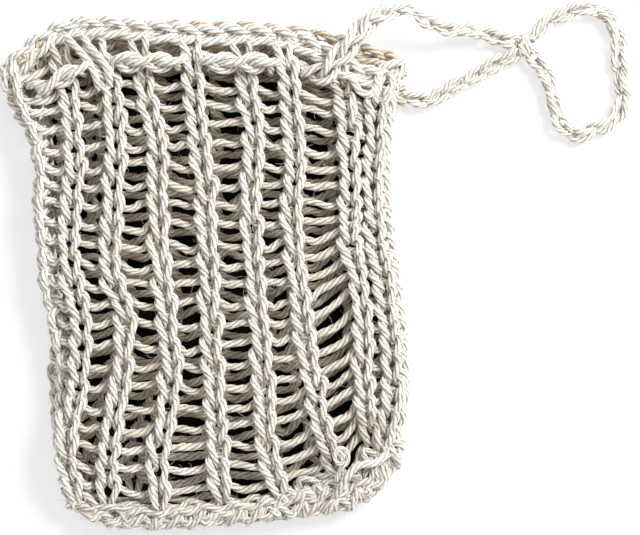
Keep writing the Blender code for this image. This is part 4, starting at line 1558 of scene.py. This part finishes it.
class SOAPBAG_OT_stage(bpy.types.Operator):
    """Set the floor, the nearly black card under the bag that paints its shadow, and the lights"""
    bl_idname = "soapbag.stage"
    bl_label = "Stage"

    def execute(self, context):
        stage = context.scene.soap_stage
        context.scene.view_settings.view_transform = "Standard"
        floor = flat_sheet("floor", FLOOR_OUTLINE, FLOOR_LEVEL, floor_material(stage.floor_colour))
        # A nearly black card under the bag paints its shadow, seen through the gaps
        card = flat_sheet("painted_shadow_card", SHADOW_CARD_OUTLINE, SHADOW_CARD_LEVEL, shadow_card_material(stage.shadow_card_colour))
        world = bpy.data.worlds.new("studio")
        world.use_nodes = True
        background = world.node_tree.nodes["Background"]
        background.inputs["Color"].default_value = (1.0, 1.0, 1.0, 1.0)
        background.inputs["Strength"].default_value = stage.fill
        context.scene.world = world
        key = bpy.data.lights.new("key", "AREA")
        key.shape = "DISK"
        key.size = KEY_SIZE
        key.energy = stage.key_power
        lamp = linked("key", key)
        lamp.location = KEY_AT
        lamp.rotation_euler = (Vector(KEY_AIM) - lamp.location).to_track_quat("-Z", "Y").to_euler()
        return {"FINISHED"}


def floor_material(colour):
    """Plain and pale, and a little paler to the camera, so that the ground looks white."""
    finish = {"Base Color": colour, "Roughness": 0.95, "Specular IOR Level": 0.0}
    material, tree, shader = new_material("floor", finish)
    glow = node(tree, "ShaderNodeEmission")
    seen = node(tree, "ShaderNodeLightPath")
    mixed = node(tree, "ShaderNodeMixShader")
    tree.links.new(maths(tree, "MULTIPLY", seen.outputs["Is Camera Ray"], FLOOR_WHITENED), mixed.inputs[0])
    tree.links.new(shader.outputs[0], mixed.inputs[1])
    tree.links.new(glow.outputs[0], mixed.inputs[2])
    tree.links.new(mixed.outputs[0], tree.nodes["Material Output"].inputs["Surface"])
    return material


def shadow_card_material(colour):
    """Matt and nearly black: a painted shadow under the bag."""
    return new_material("painted_shadow_card", {"Base Color": colour, "Roughness": 1.0, "Specular IOR Level": 0.0})[0]


OPERATORS = (
    SOAPBAG_OT_camera, SOAPBAG_OT_free_cords, SOAPBAG_OT_casing, SOAPBAG_OT_front_knitting,
    SOAPBAG_OT_back_knitting, SOAPBAG_OT_rims, SOAPBAG_OT_seam, SOAPBAG_OT_yarn_end, SOAPBAG_OT_hairs,
    SOAPBAG_OT_stage,
)
SETTINGS = {
    "soap_yarn": SoapYarnSettings, "soap_knitting": SoapKnittingSettings, "soap_chain": SoapChainSettings,
    "soap_stage": SoapStageSettings,
}


class SOAPBAG_PT_panel(bpy.types.Panel):
    """The bag's pieces and their sizes"""
    bl_label = "Soap saver bag"
    bl_idname = "SOAPBAG_PT_panel"
    bl_space_type = "VIEW_3D"
    bl_region_type = "UI"
    bl_category = "Soap bag"

    def draw(self, context):
        for operator in OPERATORS:
            self.layout.operator(operator.bl_idname)
        for name, group in SETTINGS.items():
            box = self.layout.box()
            for field in group.__annotations__:
                box.prop(getattr(context.scene, name), field)


def register():
    for cls in (*SETTINGS.values(), *OPERATORS, SOAPBAG_PT_panel):
        bpy.utils.register_class(cls)
    for name, group in SETTINGS.items():
        setattr(bpy.types.Scene, name, bpy.props.PointerProperty(type=group))


def unregister():
    for name in SETTINGS:
        delattr(bpy.types.Scene, name)
    for cls in reversed((*SETTINGS.values(), *OPERATORS, SOAPBAG_PT_panel)):
        bpy.utils.unregister_class(cls)


def main():
    register()
    bpy.ops.soapbag.camera()
    bpy.ops.soapbag.free_cords()
    bpy.ops.soapbag.casing()
    bpy.ops.soapbag.front_knitting()
    bpy.ops.soapbag.back_knitting()
    bpy.ops.soapbag.rims()
    bpy.ops.soapbag.seam()
    bpy.ops.soapbag.yarn_end()
    bpy.ops.soapbag.hairs()
    bpy.ops.soapbag.stage()


if __name__ == "__main__":
    main()
